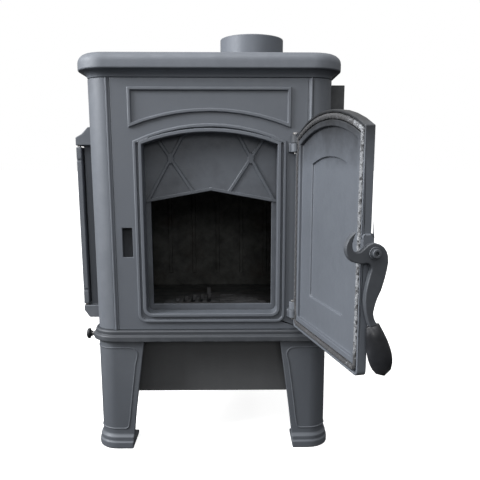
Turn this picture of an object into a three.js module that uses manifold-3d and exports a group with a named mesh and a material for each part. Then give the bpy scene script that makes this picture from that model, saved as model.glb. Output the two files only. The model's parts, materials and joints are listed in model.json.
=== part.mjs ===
// A cast-iron wood burning stove, in millimetres, +Z up, its front towards -Y.
// It has a hinged front door with a hook latch, a loading door on its left side, a flue collar
// on top, a round riddling grate turned by a rod, and an ash pan that draws out to the left.
// The front door stands open, as the part's rest position; everything else is shut.
import * as THREE from "three";
import { mergeVertices } from "three/addons/utils/BufferGeometryUtils.js";
import Module from "manifold-3d";

const wasm = await Module();
wasm.setup();

// ---------- Driving dimensions ----------

const GAP = 0.3; // left between two pieces that touch
const WALL = 8; // thickness of the body castings

const BODY_WIDTH = 410;
const BODY_DEPTH = 400;
const LEG_HEIGHT = 202; // floor to the underside of the base plate
const BASE_HEIGHT = 20;
const BODY_HEIGHT = 424; // body castings, base plate to top plate
const BODY_LOW = LEG_HEIGHT + BASE_HEIGHT;
const BODY_TOP = BODY_LOW + BODY_HEIGHT;
const COVE_HEIGHT = 13; // hollow moulding under the top plate's edge
const LID_THICKNESS = 26;
const LID_OVERHANG = 15;
const LID_SKIN = 8; // the top plate's own metal, above its underside pocket
const BASE_OVERHANG = 10;
const BASE_FLOOR = 10; // metal left over the base plate's underside pocket
const CORNER_RADIUS = 36;
const POST_REACH = 42; // how far a corner post runs along each side

const LEG_TOP_WIDTH = 85;
const LEG_FOOT_WIDTH = 60;
const LEG_WALL = 7;
const LEG_FLANGE = 12;
const LEG_CORNER = 32; // radius of a leg's outer corner
const FOOT_HEIGHT = 26;
const FOOT_FLARE = 6.5;
const FOOT_SOLE = 8;

const OPENING = { half: 113, low: BODY_LOW + 30, spring: BODY_LOW + 318, rise: 20, corner: 10 };
const DOOR_OVERLAP = { side: 22, foot: 19.5, spring: 12 }; // closed door beyond the opening
const DOOR = {
  half: OPENING.half + DOOR_OVERLAP.side,
  low: OPENING.low - DOOR_OVERLAP.foot,
  spring: OPENING.spring + DOOR_OVERLAP.spring,
  rise: 29,
  corner: 8,
};
const OPENING_RIM = 6; // width of the raised rim round the opening
const OPENING_RIM_HEIGHT = 5;
const DOOR_BEAD = {
  half: DOOR.half - 7.5,
  low: DOOR.low + 3.5,
  spring: DOOR.spring - 7,
  rise: 28,
  corner: 14,
};
const BEAD_WIDTH = 5;
const BEAD_HEIGHT = 4;
const SPANDREL = {
  half: DOOR.half - 1,
  top: BODY_TOP - 15,
  corner: DOOR.spring + 15,
  crown: DOOR.spring + 40.5,
};

const DOOR_THICKNESS = 13.4;
const DOOR_STANDOFF = 8; // closed door's inner face to the front plate
const DOOR_PANEL = {
  half: 68,
  low: DOOR.low + 65.5,
  spring: DOOR.spring - 45,
  rise: 10,
  corner: 5,
};
const DOOR_FLANGE = 22; // width of the flat border on the door's inner face
const DOOR_RECESS = 5.4;
const PANEL_RECESS = 3.2;
const ROPE_WIDTH = 9;
const ROPE_INSET = 4; // door edge to rope
const ROPE_DEPTH = 5; // depth of the rope's channel
const ROPE_PROUD = 2;
const ROPE_CLEARANCE = 0.4;
const OPEN_ANGLE = 102.4; // front door at rest, degrees from closed

const HINGE_X = DOOR.half + 6.8;
const HINGE_Y = -10;
const HINGE_LUG_HEIGHT = 14;
const HINGE_LUG_RADIUS = 7.5;
const HINGE_LUGS = { upper: DOOR.spring - 25, lower: DOOR.low + 13.5 }; // undersides of the lugs
const KNUCKLE_HEIGHT = 14;
const PIN_RADIUS = 3;
const PIN_CLEARANCE = 0.3;

const LATCH_HEIGHT = BODY_LOW + 175; // pivot above the floor
const LATCH_STANDOFF = DOOR_STANDOFF + DOOR_THICKNESS; // pivot to the metal that the hook catches
const LATCH_PROUD = 3; // boss beyond the pivot
const LEVER_THICKNESS = 9;
const LEVER_PAD = 2.6; // pad between the door's edge and the lever
const LATCH_LIP = 3; // metal left above the slot for the hook to catch
const SLOT_WIDTH = 17;
const SLOT_ABOVE = 4.3; // slot's top edge above the pivot
const SLOT_BELOW = 46;
const HOOK_ROOM = 38; // pocket behind the lip, above the pivot
const LATCH_BARREL = 10; // radius of the boss round the latch's bolt
const BOLT_RADIUS = 4;
const GRIP_LENGTH = 72;
const GRIP_WIDTH = 33;
const GRIP_THICKNESS = 21;
const GRIP_LEAN = 16; // degrees out from vertical

const FLUE_X = 76;
const FLUE_Y = 265;
const FLUE_RADIUS = 63.5; // outside of a 127 mm (5 inch) spigot
const FLUE_WALL = 6;
const FLUE_HEIGHT = 70;
const FLUE_FLANGE_WIDTH = 24.5;
const FLUE_FLANGE = 8;
const FLUE_BOLTS = 3;

const LOAD_DOOR = { front: 51, rear: 334, low: BODY_LOW + 36.5, top: BODY_LOW + 315 };
const LOAD_OPENING = {
  front: LOAD_DOOR.front + 44,
  rear: LOAD_DOOR.rear - 29,
  low: LOAD_DOOR.low + 16.5,
  top: LOAD_DOOR.top - 12,
};
const SURROUND_DEPTH = 19; // body side to the surround's sealing face
const SURROUND_LIP = 30; // body side to the lips that hold the hinge pins
const SURROUND = {
  front: LOAD_DOOR.front + 11,
  rear: LOAD_DOOR.rear + 24,
  lips: LOAD_DOOR.front - 1,
  low: BODY_LOW + 11,
  sill: LOAD_DOOR.low - 3,
  head: LOAD_DOOR.top + 3,
  top: LOAD_DOOR.top + 34,
};
const SURROUND_PLATE = 8;
const LOAD_DOOR_THICKNESS = 9;
const LOAD_DOOR_STANDOFF = 2;
const LOAD_HINGE_INSET = 6; // pin axis to the loading door's front edge
const SIDE_PIN_SEAT = 7; // depth of the lower pin's hole in the surround's sill
const SIDE_PIN_DEPTH = 22; // depth of each pin's hole in the loading door

const FIRE_FRAME_Y = 30; // front face of the cast frame that closes the front of the firebox
const FIRE_FRAME_THICKNESS = 6;
const FIRE_FRAME_TOP = BODY_LOW + 378;
const FIRE_MOUTH = {
  half: OPENING.half - 8,
  sill: OPENING.low + 10,
  ends: OPENING.low + 192,
  peak: OPENING.low + 211.6,
};
const RIB_WIDTH = 5;
const RIB_HEIGHT = 3;
const RIB_CROSS = { x: 69, z: BODY_LOW + 295.5 };
const RIB_FEET = { outer: 109, inner: 31.3 }; // where the crossed ribs leave the chevron band
const RIB_TOP = BODY_LOW + 364;

const HEARTH_THICKNESS = 8;
const GRATE_Y = 165;
const GRATE_RADIUS = 104;
const GRATE_THICKNESS = 12;
const GRATE_LEDGE = 12; // how far the base plate reaches under the grate
const SLOT_BARS = 5; // slots in each quarter of the grate
const RIDDLE_ARM = 65; // grate centre to the pin that the rod moves
const ROD_Z = LEG_HEIGHT - 13;
const ROD_WIDTH = 12;
const ROD_THICKNESS = 6;
const KNOB_RADIUS = 10;
const KNOB_LENGTH = 10;
const KNOB_X = -BODY_WIDTH / 2 - 29; // the knob's inner face

const LINER_THICKNESS = 9;
const LINER_SETBACK = 55; // body side to a side liner's inner face
const LINER_HALF = BODY_WIDTH / 2 - LINER_SETBACK;
const LINER_REAR = BODY_DEPTH - 24; // front face of the rear liner
const LINER_TOP_REAR = BODY_LOW + 303;
const LINER_TOP_FRONT = BODY_LOW + 353;
const LINER_FRONT = FIRE_FRAME_Y + FIRE_FRAME_THICKNESS + GAP;
const BAFFLE_THICKNESS = 9;
const BAFFLE_FRONT = 120;
const FIRE_FRAME_HALF = LINER_HALF + LINER_THICKNESS + 2;
const HEARTH_HALF = LINER_HALF + LINER_THICKNESS + 5;

const ASH_BOX = { half: 150, front: 45, rear: BODY_DEPTH - 45, low: LEG_HEIGHT - 110 };
const ASH_SHEET = 2;
const ASH_FLANGE = 12;
const ASH_PAN = {
  front: 93,
  rear: 307,
  low: ASH_BOX.low + ASH_SHEET + 1,
  top: LEG_HEIGHT - 32,
  left: -ASH_BOX.half,
  right: ASH_BOX.half - 10,
};
const PAN_SHEET = 2;
const PAN_HANDLE = { span: 90, reach: 20, radius: 3, height: ASH_PAN.top - 25 };

const SHIELD_THICKNESS = 2;
const SHIELD = {
  right: BODY_WIDTH / 2 + 27,
  rear: BODY_DEPTH + 24,
  front: 60,
  left: 15 - BODY_WIDTH / 2,
  inner: BODY_WIDTH / 2 + 4,
  low: BODY_LOW + 6,
  top: BODY_TOP - 4,
};
const SPACER_RADIUS = 6;

const TIE_ROD_INSET = 30; // from the body's corner lines
const TIE_ROD_RADIUS = 4;
const TIE_ROD_HEAD = 6;

const CORNER_STEPS = 6; // sides of a quarter turn in the lofted castings
const CURVE_STEPS = 5; // sides of each curve in an outline, twice this in an arc

// ---------- Levels worked out from them ----------

const HALF_WIDTH = BODY_WIDTH / 2;
const HALF_DEPTH = BODY_DEPTH / 2;
const LID_LOW = BODY_TOP + COVE_HEIGHT;
const LID_TOP = LID_LOW + LID_THICKNESS;
const SEAM_X = HALF_WIDTH - POST_REACH;
const LID_POCKET_TOP = LID_TOP - LID_SKIN;
const ROD_HOLE = TIE_ROD_RADIUS + PIN_CLEARANCE;
const FLUE_BORE = FLUE_RADIUS - FLUE_WALL;
const FLUE_FLANGE_RADIUS = FLUE_RADIUS + FLUE_FLANGE_WIDTH;
const DOOR_INNER_Y = -DOOR_STANDOFF;
const DOOR_OUTER_Y = DOOR_INNER_Y - DOOR_THICKNESS;
const SURROUND_FACE_X = -HALF_WIDTH - SURROUND_DEPTH;
const SURROUND_LIP_X = -HALF_WIDTH - SURROUND_LIP;
const LOAD_INNER_X = SURROUND_FACE_X - LOAD_DOOR_STANDOFF;
const LOAD_OUTER_X = LOAD_INNER_X - LOAD_DOOR_THICKNESS;
const LOAD_HINGE_X = (LOAD_INNER_X + LOAD_OUTER_X) / 2;
const LOAD_HINGE_Y = LOAD_DOOR.front + LOAD_HINGE_INSET;

const radians = THREE.MathUtils.degToRad;

// ---------- Solids ----------

// A closed geometry as a solid that can be joined and cut.
function solid(geometry) {
  const bare = geometry.clone();
  bare.deleteAttribute("normal");
  bare.deleteAttribute("uv");
  const merged = mergeVertices(bare, 1e-3);
  return new wasm.Manifold(
    new wasm.Mesh({
      numProp: 3,
      vertProperties: new Float32Array(merged.attributes.position.array),
      triVerts: new Uint32Array(merged.index.array),
    }),
  );
}

function geometryOf(made) {
  const mesh = made.getMesh();
  const geometry = new THREE.BufferGeometry();
  geometry.setAttribute("position", new THREE.BufferAttribute(mesh.vertProperties, 3));
  geometry.setIndex(new THREE.BufferAttribute(mesh.triVerts, 1));
  const flat = geometry.toNonIndexed();
  flat.computeVertexNormals();
  return flat;
}

const join = (first, ...others) => others.reduce((sum, other) => sum.add(other), first);
const cut = (first, ...tools) => tools.reduce((rest, tool) => rest.subtract(tool), first);

// A box between two values on each axis.
function block([x0, x1], [y0, y1], [z0, z1]) {
  const geometry = new THREE.BoxGeometry(x1 - x0, y1 - y0, z1 - z0);
  return solid(geometry.translate((x0 + x1) / 2, (y0 + y1) / 2, (z0 + z1) / 2));
}

function extruded(shape, depth) {
  return new THREE.ExtrudeGeometry(shape, {
    depth,
    bevelEnabled: false,
    curveSegments: CURVE_STEPS,
  });
}

// A plan outline between two heights.
const slab = (shape, z0, z1) => solid(extruded(shape, z1 - z0).translate(0, 0, z0));

// An outline drawn in X and Z, between two values of Y.
const panelXZ = (shape, y0, y1) =>
  solid(extruded(shape, y1 - y0).rotateX(Math.PI / 2).translate(0, y1, 0));

// An outline drawn in Y and Z, between two values of X.
function panelYZ(shape, x0, x1) {
  const turn = new THREE.Matrix4().makeBasis(
    new THREE.Vector3(0, 1, 0),
    new THREE.Vector3(0, 0, 1),
    new THREE.Vector3(1, 0, 0),
  );
  return solid(extruded(shape, x1 - x0).applyMatrix4(turn).translate(x0, 0, 0));
}

// An upright cylinder, or a hexagonal prism with six sides.
function post(radius, x, y, z0, z1, sides = 20) {
  const geometry = new THREE.CylinderGeometry(radius, radius, z1 - z0, sides);
  return solid(geometry.rotateX(Math.PI / 2).translate(x, y, (z0 + z1) / 2));
}

// A cylinder along X.
function bar(radius, y, z, x0, x1, sides = 20) {
  const geometry = new THREE.CylinderGeometry(radius, radius, x1 - x0, sides);
  return solid(geometry.rotateZ(Math.PI / 2).translate((x0 + x1) / 2, y, z));
}

// A cylinder along Y.
function barY(radius, x, z, y0, y1, sides = 20) {
  const geometry = new THREE.CylinderGeometry(radius, radius, y1 - y0, sides);
  return solid(geometry.translate(x, (y0 + y1) / 2, z));
}

// ---------- Outlines ----------

function rectangle(x0, x1, y0, y1, radius = 0) {
  const shape = new THREE.Shape();
  if (!radius) {
    return shape.moveTo(x0, y0).lineTo(x1, y0).lineTo(x1, y1).lineTo(x0, y1).closePath();
  }
  shape.moveTo(x0 + radius, y0);
  shape.lineTo(x1 - radius, y0).absarc(x1 - radius, y0 + radius, radius, -Math.PI / 2, 0);
  shape.lineTo(x1, y1 - radius).absarc(x1 - radius, y1 - radius, radius, 0, Math.PI / 2);
  shape.lineTo(x0 + radius, y1).absarc(x0 + radius, y1 - radius, radius, Math.PI / 2, Math.PI);
  shape.lineTo(x0, y0 + radius);
  return shape.absarc(x0 + radius, y0 + radius, radius, Math.PI, 1.5 * Math.PI).closePath();
}

// An upright panel with a shallow arched top, grown outwards by `grow` on every side.
function archOutline({ half, low, spring, rise, corner }, grow = 0) {
  const radius = (half * half + rise * rise) / (2 * rise);
  const centre = spring + rise - radius;
  const side = half + grow;
  const foot = low - grow;
  const round = Math.max(corner + grow, 1);
  const start = Math.acos(side / (radius + grow));
  const shape = new THREE.Shape().moveTo(-side + round, foot);
  shape.lineTo(side - round, foot);
  shape.absarc(side - round, foot + round, round, -Math.PI / 2, 0);
  shape.absarc(0, centre, radius + grow, start, Math.PI - start);
  shape.lineTo(-side, foot + round);
  return shape.absarc(-side + round, foot + round, round, Math.PI, 1.5 * Math.PI).closePath();
}

// The raised frame above the door: straight top and sides over an arched lower edge.
function spandrelOutline(inset) {
  const { half, top, corner, crown } = SPANDREL;
  const rise = crown - corner;
  const radius = (half * half + rise * rise) / (2 * rise);
  const centre = crown - radius;
  const side = half - inset;
  const start = Math.acos(side / (radius + inset));
  const shape = new THREE.Shape().moveTo(side, top - inset).lineTo(-side, top - inset);
  shape.absarc(0, centre, radius + inset, Math.PI - start, start, true);
  return shape.closePath();
}

function ring(outer, inner) {
  outer.holes.push(inner);
  return outer;
}

// A closed polygon from a list of [x, y] corners.
const polygon = (corners) => new THREE.Shape(corners.map(([x, y]) => new THREE.Vector2(x, y)));

// ---------- Lofts ----------

// One level of a loft: a rounded rectangle in plan, from corner to corner.
function roundedLevel([x0, x1], [y0, y1], radius, z) {
  const points = [];
  const centres = [
    [x1 - radius, y0 + radius, -Math.PI / 2],
    [x1 - radius, y1 - radius, 0],
    [x0 + radius, y1 - radius, Math.PI / 2],
    [x0 + radius, y0 + radius, Math.PI],
  ];
  for (const [cx, cy, from] of centres) {
    for (let i = 0; i <= CORNER_STEPS; i++) {
      const angle = from + (i / CORNER_STEPS) * (Math.PI / 2);
      points.push(cx + radius * Math.cos(angle), cy + radius * Math.sin(angle), z);
    }
  }
  return points;
}

// A closed body through levels that all have the same number of points and a convex outline.
function loft(levels) {
  const count = levels[0].length / 3;
  const index = [];
  for (let level = 0; level < levels.length - 1; level++) {
    for (let i = 0; i < count; i++) {
      const a = level * count + i;
      const b = level * count + ((i + 1) % count);
      index.push(a, b, a + count, b, b + count, a + count);
    }
  }
  const last = (levels.length - 1) * count;
  for (let i = 1; i < count - 1; i++) {
    index.push(0, i + 1, i, last, last + i, last + i + 1);
  }
  const geometry = new THREE.BufferGeometry();
  geometry.setAttribute("position", new THREE.Float32BufferAttribute(levels.flat(), 3));
  geometry.setIndex(index);
  return solid(geometry);
}

// A level that stands outside the body castings by `offset`, all round.
const bodyLevel = (offset, z) =>
  roundedLevel(
    [-HALF_WIDTH - offset, HALF_WIDTH + offset],
    [-offset, BODY_DEPTH + offset],
    CORNER_RADIUS + offset,
    z,
  );

// Points of a quarter turn, for mouldings.
const quarter = (steps, make) =>
  Array.from({ length: steps + 1 }, (_, i) => make((i / steps) * (Math.PI / 2)));

// ---------- The scene graph ----------

const stove = new THREE.Group();

const cast = { color: 0x65686e, roughness: 0.62, metalness: 0.35 };
const finishes = {
  cast,
  sooted: { color: 0x2a2a2c, roughness: 0.85, metalness: 0.2 },
  liner: { color: 0x3a3835, roughness: 0.95, metalness: 0 },
  sheet: { color: 0x3c3d40, roughness: 0.6, metalness: 0.4 },
  steel: { color: 0xa9abad, roughness: 0.35, metalness: 0.9 },
  grip: { color: 0x3f4146, roughness: 0.45, metalness: 0.3 },
  rope: { color: 0xb9b9b6, roughness: 0.95, metalness: 0 },
};

function place(name, made, finish = "cast", parent = stove) {
  const mesh = new THREE.Mesh(
    geometryOf(made),
    new THREE.MeshStandardMaterial(finishes[finish]),
  );
  mesh.name = name;
  parent.add(mesh);
}

// The four corners of the body, each a mirrored frame about the stove's upright centre line.
function eachCorner(make) {
  for (const [depthName, sy] of [["front", -1], ["rear", 1]]) {
    for (const [sideName, sx] of [["left", -1], ["right", 1]]) {
      const frame = new THREE.Group();
      frame.position.y = HALF_DEPTH;
      frame.scale.set(sx, sy, 1);
      stove.add(frame);
      make(frame, `${depthName}_${sideName}`);
    }
  }
}

const tieRodPlaces = [-1, 1].flatMap((sx) =>
  [-1, 1].map((sy) => [
    sx * (HALF_WIDTH - TIE_ROD_INSET),
    HALF_DEPTH + sy * (HALF_DEPTH - TIE_ROD_INSET),
  ]),
);

const flueBoltPlaces = Array.from({ length: FLUE_BOLTS }, (_, i) => {
  const angle = radians(90 + (360 * i) / FLUE_BOLTS);
  const radius = (FLUE_RADIUS + FLUE_FLANGE_RADIUS) / 2;
  return [FLUE_X + radius * Math.cos(angle), FLUE_Y + radius * Math.sin(angle)];
});

// ---------- Top, base and body castings ----------

function topPlate() {
  const roundOut = LID_THICKNESS * 0.62;
  const roundUp = LID_THICKNESS * 0.58;
  const levels = [
    ...quarter(4, (a) =>
      bodyLevel(
        (LID_OVERHANG - 1) * (1 - Math.cos(a)),
        BODY_TOP + GAP + (COVE_HEIGHT - GAP - 1) * Math.sin(a),
      ),
    ),
    bodyLevel(LID_OVERHANG, LID_LOW),
    ...quarter(5, (a) =>
      bodyLevel(
        LID_OVERHANG - roundOut * (1 - Math.cos(a)),
        LID_TOP - roundUp * (1 - Math.sin(a)),
      ),
    ),
  ];
  const pocket = loft([bodyLevel(-WALL, LEG_HEIGHT), bodyLevel(-WALL, LID_POCKET_TOP)]);
  const bossLow = BODY_TOP + COVE_HEIGHT / 2;
  const bosses = tieRodPlaces.map(([x, y]) =>
    post(TIE_ROD_RADIUS * 2.5, x, y, bossLow, LID_POCKET_TOP + 1),
  );
  const rodHoles = tieRodPlaces.map(([x, y]) =>
    post(ROD_HOLE, x, y, bossLow - 1, LID_POCKET_TOP - 2),
  );
  const boltHoles = flueBoltPlaces.map(([x, y]) =>
    post(ROD_HOLE, x, y, LID_POCKET_TOP - 1, LID_TOP + 1),
  );
  const flueHole = post(FLUE_BORE, FLUE_X, FLUE_Y, LID_POCKET_TOP - 1, LID_TOP + 1, 40);
  return cut(join(cut(loft(levels), pocket), ...bosses), ...rodHoles, ...boltHoles, flueHole);
}

function basePlate() {
  const step = BASE_OVERHANG * 0.4;
  const band = LEG_HEIGHT + BASE_HEIGHT * 0.55;
  const levels = [
    bodyLevel(BASE_OVERHANG - 1.5, LEG_HEIGHT),
    bodyLevel(BASE_OVERHANG, LEG_HEIGHT + 1.5),
    bodyLevel(BASE_OVERHANG, band - 1.5),
    bodyLevel(BASE_OVERHANG - 1.5, band),
    bodyLevel(BASE_OVERHANG - step, band + 0.5),
    bodyLevel(BASE_OVERHANG - step, BODY_LOW - 2),
    bodyLevel(BASE_OVERHANG - step - 2, BODY_LOW),
  ];
  const pocketHalf = HALF_WIDTH - LEG_TOP_WIDTH + 30;
  const pocket = block(
    [-pocketHalf, pocketHalf],
    [ASH_BOX.front, ASH_BOX.rear],
    [LEG_HEIGHT - 1, BODY_LOW - BASE_FLOOR],
  );
  const grateHole = post(GRATE_RADIUS - GRATE_LEDGE, 0, GRATE_Y, LEG_HEIGHT, BODY_LOW + 1, 40);
  const rodHoles = tieRodPlaces.map(([x, y]) =>
    post(ROD_HOLE, x, y, LEG_HEIGHT - 1, BODY_LOW + 1),
  );
  return cut(loft(levels), pocket, grateHole, ...rodHoles);
}

// A corner post in its mirrored frame: an angle with a round outer corner and a bead at its seam.
function cornerPost() {
  const inner = CORNER_RADIUS - WALL;
  const cx = HALF_WIDTH - CORNER_RADIUS;
  const cy = HALF_DEPTH - CORNER_RADIUS;
  const shape = new THREE.Shape().moveTo(HALF_WIDTH, HALF_DEPTH - POST_REACH);
  shape.absarc(cx, cy, CORNER_RADIUS, 0, Math.PI / 2);
  shape.lineTo(HALF_WIDTH - POST_REACH, HALF_DEPTH);
  shape.lineTo(HALF_WIDTH - POST_REACH, HALF_DEPTH - WALL);
  shape.absarc(cx, cy, inner, Math.PI / 2, 0, true);
  shape.lineTo(HALF_WIDTH - WALL, HALF_DEPTH - POST_REACH);
  const [low, top] = [BODY_LOW + GAP, BODY_TOP - GAP];
  const bead = post(BEAD_WIDTH / 2, HALF_WIDTH - POST_REACH + BEAD_WIDTH, HALF_DEPTH, low, top, 8);
  return join(slab(shape.closePath(), low, top), bead);
}

// The slot and the thinned pocket behind it that a hook latch catches in. Both are cut from a
// plate that faces -Y, whose outer face is at `face` and whose back is at `back`.
function latchCuts(x, face, back) {
  const half = SLOT_WIDTH / 2;
  const top = LATCH_HEIGHT + SLOT_ABOVE;
  const low = LATCH_HEIGHT - SLOT_BELOW;
  return join(
    block([x - half, x + half], [face - 1, back + 1], [low, top]),
    block([x - half - 3, x + half + 3], [face + LATCH_LIP, back + 1], [low - 4, top + HOOK_ROOM]),
  );
}

const LATCH_X = -DOOR.half - LEVER_PAD - GAP - LEVER_THICKNESS / 2;

function frontPlate() {
  const outline = rectangle(-SEAM_X + GAP, SEAM_X - GAP, BODY_LOW + GAP, BODY_TOP - GAP);
  const plate = panelXZ(ring(outline, archOutline(OPENING)), 0, WALL);
  const rim = ring(archOutline(OPENING, OPENING_RIM), archOutline(OPENING));
  const reveal = ring(archOutline(OPENING, OPENING_RIM), archOutline(OPENING));
  const revealBack = FIRE_FRAME_Y - RIB_HEIGHT - GAP;
  const bead = ring(archOutline(DOOR_BEAD), archOutline(DOOR_BEAD, -BEAD_WIDTH));
  const spandrel = ring(spandrelOutline(0), spandrelOutline(BEAD_WIDTH));
  const lugs = Object.values(HINGE_LUGS).map((low) => {
    const top = low + HINGE_LUG_HEIGHT;
    const arm = block([HINGE_X - 10.5, HINGE_X + 7], [HINGE_Y, 1], [low, top]);
    return join(post(HINGE_LUG_RADIUS, HINGE_X, HINGE_Y, low, top), arm);
  });
  const pinHoles = Object.values(HINGE_LUGS).map((low) =>
    post(PIN_RADIUS + PIN_CLEARANCE, HINGE_X, HINGE_Y, low - 1, low + HINGE_LUG_HEIGHT + 1),
  );
  const raised = join(
    plate,
    panelXZ(rim, -OPENING_RIM_HEIGHT, 1),
    panelXZ(reveal, WALL - 1, revealBack),
    panelXZ(bead, -BEAD_HEIGHT, 1),
    panelXZ(spandrel, -BEAD_HEIGHT, 1),
    ...lugs,
  );
  return cut(raised, latchCuts(LATCH_X, 0, WALL), ...pinHoles);
}

function backPlate() {
  const outline = rectangle(-SEAM_X + GAP, SEAM_X - GAP, BODY_LOW + GAP, BODY_TOP - GAP);
  const plate = panelXZ(outline, BODY_DEPTH - WALL, BODY_DEPTH);
  const frame = ring(
    rectangle(-SEAM_X + 20, SEAM_X - 20, BODY_LOW + 25, BODY_TOP - 25, 16),
    rectangle(-SEAM_X + 25, SEAM_X - 25, BODY_LOW + 30, BODY_TOP - 30, 11),
  );
  return join(plate, panelXZ(frame, BODY_DEPTH - 1, BODY_DEPTH + 2));
}

const SIDE_FRONT = POST_REACH + GAP;
const SIDE_REAR = BODY_DEPTH - POST_REACH - GAP;

function sidePlate(x0, x1, hole) {
  const outline = rectangle(SIDE_FRONT, SIDE_REAR, BODY_LOW + GAP, BODY_TOP - GAP);
  return panelYZ(hole ? ring(outline, hole) : outline, x0, x1);
}

function rightSidePlate() {
  const frame = ring(
    rectangle(SIDE_FRONT + 15, SIDE_REAR - 15, BODY_LOW + 25, BODY_TOP - 25, 16),
    rectangle(SIDE_FRONT + 20, SIDE_REAR - 20, BODY_LOW + 30, BODY_TOP - 30, 11),
  );
  return join(
    sidePlate(HALF_WIDTH - WALL, HALF_WIDTH),
    panelYZ(frame, HALF_WIDTH - 1, HALF_WIDTH + 2),
  );
}

const loadOpening = () =>
  rectangle(LOAD_OPENING.front, LOAD_OPENING.rear, LOAD_OPENING.low, LOAD_OPENING.top);

// ---------- Legs and tie rods ----------

// One level of a leg in its mirrored frame: square at its inner sides, round at the outer corner.
function legLevel(inner, outer, corner, z) {
  const across = HALF_WIDTH - HALF_DEPTH;
  const points = [across + inner, inner, z, across + outer, inner, z];
  const cx = across + outer - corner;
  for (let i = 0; i <= CORNER_STEPS; i++) {
    const angle = (i / CORNER_STEPS) * (Math.PI / 2);
    points.push(cx + corner * Math.cos(angle), outer - corner + corner * Math.sin(angle), z);
  }
  points.push(across + inner, outer, z);
  return points;
}

// One leg in its mirrored frame: an angle that narrows downwards, on a flared and stepped foot.
function leg() {
  const width = (z) =>
    LEG_FOOT_WIDTH + (LEG_TOP_WIDTH - LEG_FOOT_WIDTH) * Math.pow(z / LEG_HEIGHT, 1.2);
  const level = (z, flare = 0) =>
    legLevel(HALF_DEPTH - width(z), HALF_DEPTH + flare, LEG_CORNER + flare, z);
  const steps = [0, 0.25, 0.5, 0.75, 1];
  const upTo = LEG_HEIGHT - GAP;
  const outer = loft([
    level(0, FOOT_FLARE - 1),
    level(1.5, FOOT_FLARE),
    level(FOOT_HEIGHT * 0.45, FOOT_FLARE),
    level(FOOT_HEIGHT * 0.55, FOOT_FLARE * 0.65),
    level(FOOT_HEIGHT * 0.82, FOOT_FLARE * 0.65),
    ...steps.map((t) => level(FOOT_HEIGHT + (upTo - FOOT_HEIGHT) * t)),
  ]);
  const hollowLevel = (z) =>
    legLevel(
      HALF_DEPTH - LEG_TOP_WIDTH - 20,
      HALF_DEPTH - LEG_WALL,
      LEG_CORNER - LEG_WALL,
      z,
    );
  const hollow = loft([hollowLevel(FOOT_SOLE), hollowLevel(upTo - LEG_FLANGE)]);
  const boxRoom = block(
    [0, ASH_BOX.half + 2],
    [0, HALF_DEPTH - ASH_BOX.front + ASH_FLANGE + 2],
    [FOOT_HEIGHT, upTo + 1],
  );
  const inset = TIE_ROD_INSET;
  const hole = post(ROD_HOLE, HALF_WIDTH - inset, HALF_DEPTH - inset, upTo - LEG_FLANGE - 1, upTo + 1);
  return cut(outer, hollow, boxRoom, hole);
}

// A tie rod, headed under a leg's flange and threaded into the top plate's boss.
function tieRod() {
  const seat = LEG_HEIGHT - GAP - LEG_FLANGE - GAP;
  const [x, y] = [HALF_WIDTH - TIE_ROD_INSET, HALF_DEPTH - TIE_ROD_INSET];
  return join(
    post(TIE_ROD_RADIUS * 1.9, x, y, seat - TIE_ROD_HEAD, seat, 6),
    post(TIE_ROD_RADIUS, x, y, seat - 1, LID_POCKET_TOP - 4, 12),
  );
}

// ---------- Inside the firebox ----------

// The cast frame in front of the fire: legs, a sill and a curtain with a chevron edge and
// crossed ribs, all one piece.
function fireFrame() {
  const [half, top] = [FIRE_FRAME_HALF, FIRE_FRAME_TOP];
  const mouth = FIRE_MOUTH;
  const low = BODY_LOW + 2 * GAP + HEARTH_THICKNESS;
  const hole = polygon([
    [-mouth.half, mouth.sill],
    [mouth.half, mouth.sill],
    [mouth.half, mouth.ends],
    [0, mouth.peak],
    [-mouth.half, mouth.ends],
  ]);
  const back = FIRE_FRAME_Y + FIRE_FRAME_THICKNESS;
  const plate = panelXZ(ring(rectangle(-half, half, low, top), hole), FIRE_FRAME_Y, back);
  const front = FIRE_FRAME_Y - RIB_HEIGHT;
  const rib = ([x0, z0], [x1, z1]) => {
    const length = Math.hypot(x1 - x0, z1 - z0);
    const geometry = new THREE.BoxGeometry(length, RIB_HEIGHT + 1, RIB_WIDTH);
    geometry.rotateY(-Math.atan2(z1 - z0, x1 - x0));
    return solid(geometry.translate((x0 + x1) / 2, front + (RIB_HEIGHT + 1) / 2, (z0 + z1) / 2));
  };
  const slope = (mouth.peak - mouth.ends) / mouth.half;
  const edgeAt = (x) => mouth.peak - slope * Math.abs(x) + RIB_WIDTH / 2 + 0.5;
  const beyond = ([x0, z0], z) => {
    const share = (z - z0) / (RIB_CROSS.z - z0);
    return [x0 + (RIB_CROSS.x - x0) * share, z];
  };
  const ribs = [-1, 1].flatMap((side) => {
    const mirror = ([x, z]) => [side * x, z];
    const outer = [RIB_FEET.outer, edgeAt(RIB_FEET.outer)];
    const inner = [RIB_FEET.inner, edgeAt(RIB_FEET.inner)];
    const gusset = polygon(
      [[-6, 0], [0, -10], [6, 0], [0, 10]].map(([x, z]) => [side * RIB_CROSS.x + x, RIB_CROSS.z + z]),
    );
    return [
      rib(mirror([half - 3, edgeAt(half - 3)]), mirror([-3, edgeAt(3)])),
      rib(mirror(outer), mirror(beyond(outer, RIB_TOP))),
      rib(mirror(inner), mirror(beyond(inner, RIB_TOP))),
      panelXZ(gusset, front, FIRE_FRAME_Y + 1),
    ];
  });
  return join(plate, ...ribs);
}

function hearthPlate() {
  const [low, top] = [BODY_LOW + GAP, BODY_LOW + GAP + HEARTH_THICKNESS];
  const front = WALL + GAP + 4;
  const plate = block([-HEARTH_HALF, HEARTH_HALF], [front, BODY_DEPTH - front], [low, top]);
  return cut(plate, post(GRATE_RADIUS + 2, 0, GRATE_Y, low - 1, top + 1, 40));
}

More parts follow.
